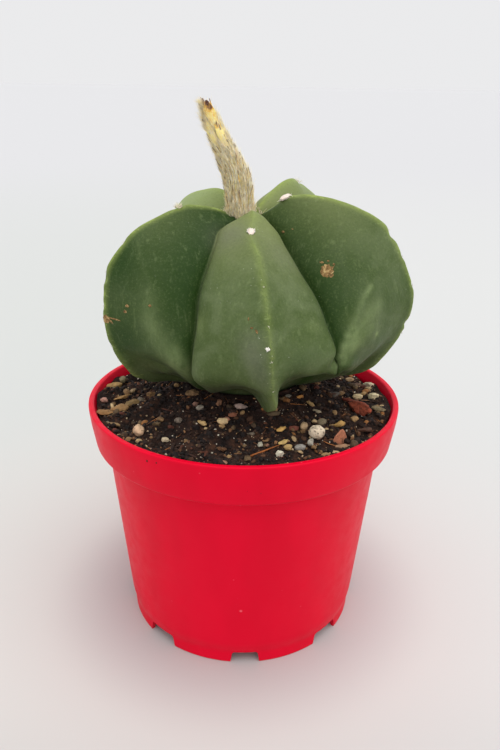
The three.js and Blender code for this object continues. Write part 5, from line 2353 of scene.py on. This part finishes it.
@dataclass
class Areoles:
    """The wool cushions on the crests and the wool in the crown round the flower."""

    body: CactusBody
    seed: int = 8
    styles: tuple[WoolStyle, ...] = (
        WoolStyle(200, (0.25, 0.6), 0.08, 1.2, 1.22, screen(242, 236, 226)),
        WoolStyle(280, (0.25, 0.7), 0.08, 2.05, 2.15, screen(246, 240, 226)),
        WoolStyle(22, (1.0, 2.4), 0.05, 0.6, 0.4, screen(240, 232, 210)),
        WoolStyle(90, (0.6, 1.4), 0.08, 1.1, 1.0, screen(246, 238, 220)),
        WoolStyle(60, (0.6, 1.4), 0.08, 0.75, 0.7, screen(248, 238, 206)),
    )
    old: WoolStyle = WoolStyle(6, (0.2, 0.45), 0.05, 0.26, 0.17, screen(204, 200, 172))
    small_white: WoolStyle = WoolStyle(40, (0.25, 0.5), 0.07, 0.5, 0.55, screen(250, 246, 238))
    small_white_place: Place = (5.5, -31.4, 90.3)
    crown_hairs: int = 240
    crown_colour: Colour = screen(214, 200, 156)
    pink: Colour = screen(238, 218, 204)

    def build(self) -> None:
        """Models the cushions' cores and hairs."""
        random = np.random.default_rng(self.seed)
        strand = model_strand(rows=3)
        core = StoneCutter(seed=3).cut(ROUND, fine=True, facets=0)
        cores, hairs = Copies("areole_cushions"), Copies("areole_wool")
        core_tints: list[Colour] = []
        tints: list[Colour] = []
        for middle, normal, style in self._spots():
            seat, _ = self.body.on_skin(middle)
            first, second = across(normal)
            size = np.array([style.core, style.core * 0.85, style.core * 0.42])
            places = (core.places * size) @ np.stack([first, second, normal]) + seat + 0.1 * normal
            cores.add(core, places * MM, np.zeros(len(places)))
            core_tints.append(self.pink if style.core > 0.8 else style.colour)
            for _ in range(style.hairs):
                angle, reach = random.uniform(0, math.tau), math.sqrt(random.uniform(0.05, 1))
                side = math.cos(angle) * first + math.sin(angle) * second
                root = seat + side * reach * style.spread * 0.8 + 0.1 * normal
                way = normal * random.uniform(0.5, 1.3) + side * reach * random.uniform(0.2, 1.0)
                way = unit(way + random.normal(0, 0.25, 3))
                bend = random.normal(0, 0.3, 3) - 0.25 * normal
                lay_strand(hairs, strand, root, way, bend, random.uniform(*style.length), style.radius)
                tints.append(style.colour)
        self._crown(hairs, strand, random)
        tints += [self.crown_colour] * self.crown_hairs
        wool = Tuft("white_wool", tip=screen(250, 246, 236), tip_share=0.4)
        cores.finish(wool.material(), Slot.SKIN, core_tints)
        hairs.finish(wool.material(), Slot.SKIN, tints)

    def _spots(self) -> list[tuple[Array, Array, WoolStyle]]:
        """Every cushion's middle, the direction that it faces and its style.

        Returns:
            One row per cushion.
        """
        plan, spots = self.body.plan, []
        for rib, station, young in self.body.areole_places():
            middle = self.body.pulled(plan.line_point(plan.crests[rib], np.array(station)))
            normal = plan.crest_normal(plan.crests[rib], station)
            spots.append((middle, normal, self.styles[rib] if young else self.old))
        spots.append((*self.body.on_skin(np.array(self.small_white_place)), self.small_white))
        return spots

    def _crown(self, hairs: Copies, strand: Template, random: Stream) -> None:
        """Adds the wool of the crown, in a ring round the flower's foot.

        Args:
            hairs: The mesh that takes the hairs.
            strand: The hair's template.
            random: The stream of numbers.
        """
        foot = np.array(DriedFlower.spine_points[1])
        for _ in range(self.crown_hairs):
            angle = random.uniform(0, math.tau)
            side = np.array([math.cos(angle), math.sin(angle), 0])
            seat, _ = self.body.on_skin(foot + side * random.uniform(3.0, 5.2))
            way = side * random.uniform(-0.2, 0.9) + np.array([0, 0, 1.0])
            way = unit(way + random.normal(0, 0.3, 3))
            length = random.uniform(0.6, 1.5)
            lay_strand(hairs, strand, seat, way, random.normal(0, 0.35, 3), length, 0.075)


# ---------------------------------------------------------------- the withered flower


@dataclass(frozen=True)
class PetalSkin:
    """Papery shrivelled petals: straw at the foot, golden yellow, then brown at the tips."""

    straw: Colour = screen(236, 216, 170)
    gold: Colour = screen(250, 228, 146)
    amber: Colour = screen(226, 172, 66)
    brown: Colour = screen(118, 76, 52)
    dark: Colour = screen(74, 44, 36)

    def material(self) -> Material:
        """Builds the petals' finish. It reads how far along each petal a point is.

        Returns:
            The material.
        """
        bench = NodeBench("shrivelled_petal")
        veins = bench.noise(0.9, 4, stretch=(1, 1, 0.22))
        ragged = bench.spread(bench.noise(1.3, 3), 0.25, 0.75, -0.16, 0.16)
        yellow = ((0.12, self.straw), (0.3, self.gold), (0.6, self.gold), (0.74, self.amber))
        along = bench.math("ADD", bench.stored("along"), ragged)
        bench.ramp(along, *yellow, (0.84, self.brown), (0.96, self.dark))
        bench.lay(self.amber, bench.spread(veins, 0.5, 0.72, 0, 0.35))
        spot = bench.noise(1.7, 4, 0.7, (1, 1, 0.5))
        bench.lay(self.brown, bench.spread(spot, 0.66, 0.72), 0.7)
        flesh = {"Subsurface Weight": 0.15, "Subsurface Radius": (0.8, 0.5, 0.2)}
        flesh |= {"Subsurface Scale": 0.0008}
        return bench.finish(0.6, 0.35, bench.bump(veins, 0.25), flesh)


@dataclass
class DriedFlower:
    """The withered flower: a woolly tube with bristly scales and petals closed at the tip."""

    spine_points = (
        (-1.4, 3.2, 111.8), (-1.7, 3.2, 116.0), (-2.4, 3.2, 123.0), (-4.1, 3.0, 127.5),
        (-6.4, 2.8, 132.2), (-8.6, 2.6, 137.0), (-10.0, 2.4, 141.2),
    )
    half_widths = (3.2, 3.3, 3.1, 2.45, 2.0, 1.65, 0.9)
    thick = ("SOLIDIFY", {"thickness": 0.1 * MM, "offset": 0.0})
    core_share: float = 0.86
    columns: int = 40
    rows: int = 60
    scale_count: int = 110
    petal_count: int = 15
    wool_count: int = 6400
    wool_length: tuple[float, float] = (1.8, 4.2)
    wool_radius: tuple[float, float] = (0.045, 0.085)
    wool_stand: tuple[float, float] = (0.04, 0.24)
    fuzz_count: int = 1100
    fuzz_length: tuple[float, float] = (1.6, 3.0)
    fuzz_radius: float = 0.03
    fuzz_stand: tuple[float, float] = (0.15, 0.7)
    tip_fuzz_count: int = 800
    seed: int = 5

    def __post_init__(self) -> None:
        """Starts the stream of numbers."""
        self.random = np.random.default_rng(self.seed)

    def build(self) -> None:
        """Models the tube, its petals, scales and wool."""
        self._tube()
        self._petals()
        self._scales()
        self._wool()

    def point(self, share: float) -> Array:
        """A point of the tube's middle; past the tip it runs straight on.

        Args:
            share: How far along the tube, from 0 to 1.

        Returns:
            The point, in millimetres.
        """
        if share > 1:
            return self.point(1.0) + self.way(1.0) * (share - 1) * self._length()
        knots = np.array(self.spine_points)
        place = min(max(share, 0.0), 1.0) * (len(knots) - 1)
        step = min(int(place), len(knots) - 2)
        t = place - step
        before, after = knots[max(step - 1, 0)], knots[min(step + 2, len(knots) - 1)]
        start, end = knots[step], knots[step + 1]
        pull_in, pull_out = (end - before) / 2, (after - start) / 2
        eased = (2 * t**3 - 3 * t**2 + 1) * start + (3 * t**2 - 2 * t**3) * end
        return eased + (t**3 - 2 * t**2 + t) * pull_in + (t**3 - t**2) * pull_out

    def way(self, share: float) -> Array:
        """The tube's own direction at a share of its length."""
        low = max(min(share, 1.0) - 0.01, 0.0)
        return unit(self.point(min(low + 0.02, 1.0)) - self.point(low))

    def half_width(self, share: float) -> float:
        """The tube's half width at a share of its length."""
        keys = np.linspace(0, 1, len(self.half_widths))
        return float(np.interp(share, keys, self.half_widths)) * max(1 - 4 * max(share - 1, 0.0), 0.3)

    def skin(self, share: float, turn: float, grow: float = 0.0) -> Array:
        """A point of the tube's surface, `grow` millimetres out from it.

        Args:
            share: How far up the tube.
            turn: How far round it, in radians.
            grow: How far off its surface.

        Returns:
            The point in millimetres.
        """
        wrinkle = 1 + 0.05 * math.sin(3 * turn + 9 * share)
        radius = self.half_width(share) * wrinkle + grow
        return self.point(share) + self.outward(share, turn) * radius

    def outward(self, share: float, turn: float) -> Array:
        """The direction out of the tube at a turn round it.

        Args:
            share: How far along the tube, from 0 to 1.
            turn: The turn, in radians.

        Returns:
            A direction of length 1.
        """
        along = self.way(share)
        side = unit(np.cross((0, 1, 0), along))
        return side * math.cos(turn) + np.cross(along, side) * math.sin(turn)

    def _length(self) -> float:
        """The length of the tube's middle line."""
        knots = np.array(self.spine_points)
        return float(np.linalg.norm(np.diff(knots, axis=0), axis=1).sum())

    def _tube(self) -> None:
        """Shapes the dry tube from a sphere, with lengthwise wrinkles."""
        tube, row, column = add_sphere("flower_tube", self.columns, self.rows)
        shares = 1 - (row - 1) / (self.rows - 2)
        places = np.empty((len(row), 3))
        for index, (share, step) in enumerate(zip(shares, column)):
            turn = step * math.tau / self.columns
            inset = -(1 - self.core_share) * self.half_width(min(max(share, 0), 1))
            places[index] = self.skin(min(max(share, 0.0), 1.0), turn, inset)
        places[row == 0] = self.point(1.0) + self.way(1.0) * 0.4
        places[row == self.rows] = self.point(0.0)
        move_corners(tube, places * MM)
        ripple(tube, "tube_wrinkles", 1.6, 0.5)
        smooth(tube)
        paint_colour(tube, "tint", np.tile(np.array(screen(242, 228, 192)), (len(row), 1)))
        paint(tube, "along", np.clip(shares, 0, 1))
        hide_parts(Node.FLOWER.value)
        finish_piece(tube, Tuft("dry_tube", tip=screen(228, 190, 110)).material())

    def _model_blade(self, rows: int, waist: float, point: float) -> Template:
        """Models a flat blade of unit length and half width, folded along its middle.

        Args:
            rows: How many lengths it has.
            waist: How wide its foot is.
            point: How far up it starts to taper to its tip.

        Returns:
            The blade, standing on the origin in the XZ plane.
        """
        clear_selection()
        bpy.ops.mesh.primitive_grid_add(x_subdivisions=4, y_subdivisions=rows, size=2)
        blade = name_newest("blade")
        with HandEdit(blade) as edit:
            edit.everything()
            bpy.ops.transform.translate(value=(0, 1, 0))
            edit.scale(1, 0.5, 1)
            for row in range(rows + 1):
                share = row / rows
                rise = waist + (1 - waist) * math.sin(min(share / point, 1) * math.pi / 2)
                taper = 1.0 if share < point else max(1 - (share - point) / (1 - point), 0.06)
                edit.vertices(lambda v: abs(v.y - share) < 0.25 / rows)
                edit.scale(rise * taper**0.8, 1, 1)
        return Template.take(blade)

    def _petals(self) -> None:
        """Wraps shrivelled petals round the upper tube and closes them over its tip."""
        random, blade = self.random, self._model_blade(14, 0.55, 0.5)
        copies = Copies("flower_petals")
        for index in range(self.petal_count):
            turn = (index + random.uniform(-0.3, 0.3)) * math.tau / self.petal_count
            foot = random.uniform(0.58, 0.7)
            tip = random.uniform(0.94, 1.07) if index % 3 else random.uniform(0.82, 0.93)
            half = random.uniform(0.8, 1.35)
            twist, flare = random.normal(0, 0.5), random.uniform(-0.2, 0.8)
            crinkle, phase = random.uniform(0.15, 0.4), random.uniform(0, math.tau)
            layer = random.uniform(0.0, 0.3)
            places = []
            for u, t, _ in blade.places:
                share = foot + (tip - foot) * t
                angle = turn + twist * t + u * half / max(self.half_width(share), 0.9)
                fold = crinkle * math.sin(5 * t + phase) + 0.16 * math.cos(3 * math.pi * u)
                grow = 0.12 + layer + fold * min(3 * t, 1) + flare * max(t - 0.72, 0) * 3
                places.append(self.skin(share, angle, grow))
            copies.add(blade, np.array(places) * MM, blade.places[:, 1])
        rounder = ("SUBSURF", {"levels": 1, "render_levels": 1})
        copies.finish(PetalSkin().material(), Slot.FLOWER, shaping=(self.thick, rounder))

    def _scales(self) -> None:
        """Lays narrow dark-tipped scales up the tube."""
        random, blade = self.random, self._model_blade(6, 0.8, 0.35)
        copies = Copies("flower_scales")
        for _ in range(self.scale_count):
            foot = random.triangular(0.1, 0.54, 0.74)
            length = random.uniform(0.07, 0.12)
            turn, lean = random.uniform(0, math.tau), random.normal(0, 0.12)
            half, stand = random.uniform(0.12, 0.23), random.uniform(0.45, 0.85)
            places = []
            for u, t, _ in blade.places:
                share = foot + length * t
                angle = turn + lean * t + u * half / self.half_width(share)
                places.append(self.skin(share, angle, 0.1 + stand * t - 0.1 * u * u))
            copies.add(blade, np.array(places) * MM, blade.places[:, 1])
        tints = SCALE_COLOURS.pick(random, self.scale_count)
        dry = Tuft("dry_scale", screen(86, 50, 36), tip_start=0.35, tip_share=1.0, sheen=0.0)
        copies.finish(dry.material(), Slot.FLOWER, tints, shaping=(self.thick,))

    def _wool(self) -> None:
        """Grows silky wool that lies up the tube, and loose hairs that stand off it."""
        random, strand = self.random, model_strand(rows=3)
        copies = Copies("flower_wool")
        count = self.wool_count + self.fuzz_count + self.tip_fuzz_count
        for index in range(count):
            loose = index >= self.wool_count
            at_tip = index >= self.wool_count + self.fuzz_count
            share = random.uniform(0.0, 0.66) if random.uniform() < 0.9 else random.uniform(0.6, 0.84)
            turn = random.uniform(0, math.tau)
            if at_tip:
                share, turn = random.uniform(0.76, 1.0), random.normal(math.pi, 0.8)
            out, along = self.outward(share, turn), self.way(share)
            aside = np.cross(along, out)
            stand = random.uniform(*(self.fuzz_stand if loose else self.wool_stand))
            stand += random.uniform(0.1, 0.6) * at_tip
            way = unit(along + out * stand + aside * random.normal(0, 0.14))
            bend = out * random.normal(-0.12, 0.14) + aside * random.normal(0, 0.14)
            length = random.uniform(*(self.fuzz_length if loose else self.wool_length))
            root = self.skin(share, turn, random.uniform(-0.35, 0.25))
            radius = self.fuzz_radius if loose else random.uniform(*self.wool_radius)
            lay_strand(copies, strand, root, way, bend, length, radius)
        silk = Tuft("flower_silk", tip=screen(255, 242, 206), tip_share=0.4, sheen=0.45)
        copies.finish(silk.material(), Slot.FLOWER, SILK_COLOURS.pick(random, count))


# ---------------------------------------------------------------- the studio


@dataclass
class Studio:
    """The camera, the pale ground and the soft light."""

    camera_place: Place = (1.6, -181.4, 145.35)
    pitch: float = 22.24
    roll: float = -0.91
    lens: float = 34.0
    ground_radius: float = 80.0
    horizon: Colour = screen(196, 196, 197)
    glow: Colour = screen(252, 252, 254)
    zenith: Colour = screen(178, 179, 182)
    sky_strength: float = 1.5
    lamp_energy: float = 1.5
    lamp_spread: float = 60.0
    lamp_lean: tuple[float, float] = (14.0, 10.0)

    def build(self) -> None:
        """Sets up the camera, the ground, the light and the plain colour response."""
        self._camera()
        self._ground()
        self._light()
        settings = bpy.context.scene.view_settings
        settings.view_transform = "Standard"
        settings.look = "None"

    def _camera(self) -> None:
        """Places the camera and makes it the scene's own."""
        camera = bpy.data.cameras.new("camera")
        camera.lens = self.lens
        camera.clip_start, camera.clip_end = 0.01, 4 * self.ground_radius
        holder = bpy.data.objects.new("camera", camera)
        bpy.context.scene.collection.objects.link(holder)
        pitch, roll = math.radians(self.pitch), math.radians(self.roll)
        forward = Vector((0, math.cos(pitch), -math.sin(pitch)))
        level = Vector((1, 0, 0))
        steep = level.cross(forward)
        right = level * math.cos(roll) - steep * math.sin(roll)
        up = level * math.sin(roll) + steep * math.cos(roll)
        turn = Matrix((right, up, -forward)).transposed().to_4x4()
        place = Matrix.Translation(Vector(self.camera_place) * MM)
        holder.matrix_world = place @ turn
        bpy.context.scene.camera = holder

    def _ground(self) -> None:
        """Lays the ground, a wide disc."""
        clear_selection()
        bpy.ops.mesh.primitive_circle_add(vertices=96, radius=self.ground_radius, fill_type="NGON")
        ground = name_newest("ground")
        ground.data.materials.append(StudioPaper().material())

    def _light(self) -> None:
        """Lights the scene with a pale sky and one very wide lamp from above."""
        world = bpy.data.worlds.new("sky")
        world.use_nodes = True
        nodes, links = world.node_tree.nodes, world.node_tree.links
        height = nodes.new("ShaderNodeSeparateXYZ")
        links.new(nodes.new("ShaderNodeTexCoord").outputs["Generated"], height.inputs[0])
        fade = nodes.new("ShaderNodeValToRGB")
        links.new(height.outputs["Z"], fade.inputs["Fac"])
        low, high = fade.color_ramp.elements
        low.position, low.color = 0.12, self.horizon
        high.position, high.color = 0.8, self.zenith
        fade.color_ramp.elements.new(0.35).color = self.glow
        links.new(fade.outputs["Color"], nodes["Background"].inputs["Color"])
        nodes["Background"].inputs["Strength"].default_value = self.sky_strength
        bpy.context.scene.world = world
        lamp = bpy.data.lights.new("lamp", "SUN")
        lamp.energy = self.lamp_energy
        lamp.angle = math.radians(self.lamp_spread)
        lamp.color = (1.0, 0.985, 0.96)
        holder = bpy.data.objects.new("lamp", lamp)
        holder.rotation_euler = (*(math.radians(lean) for lean in self.lamp_lean), 0)
        bpy.context.scene.collection.objects.link(holder)


def main() -> None:
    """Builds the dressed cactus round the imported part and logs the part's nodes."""
    logging.basicConfig(level=logging.INFO, format="%(name)s: %(message)s")
    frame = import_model()
    LOG.info("packed part: %s", ", ".join(sorted(frame["nodes"])))
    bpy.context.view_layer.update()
    Studio().build()
    NurseryPot().build()
    bed = SoilBed()
    bed.build()
    SoilSurface(bed).build()
    body = CactusBody()
    body.build()
    Areoles(body).build()
    DriedFlower().build()


if __name__ == "__main__":
    main()
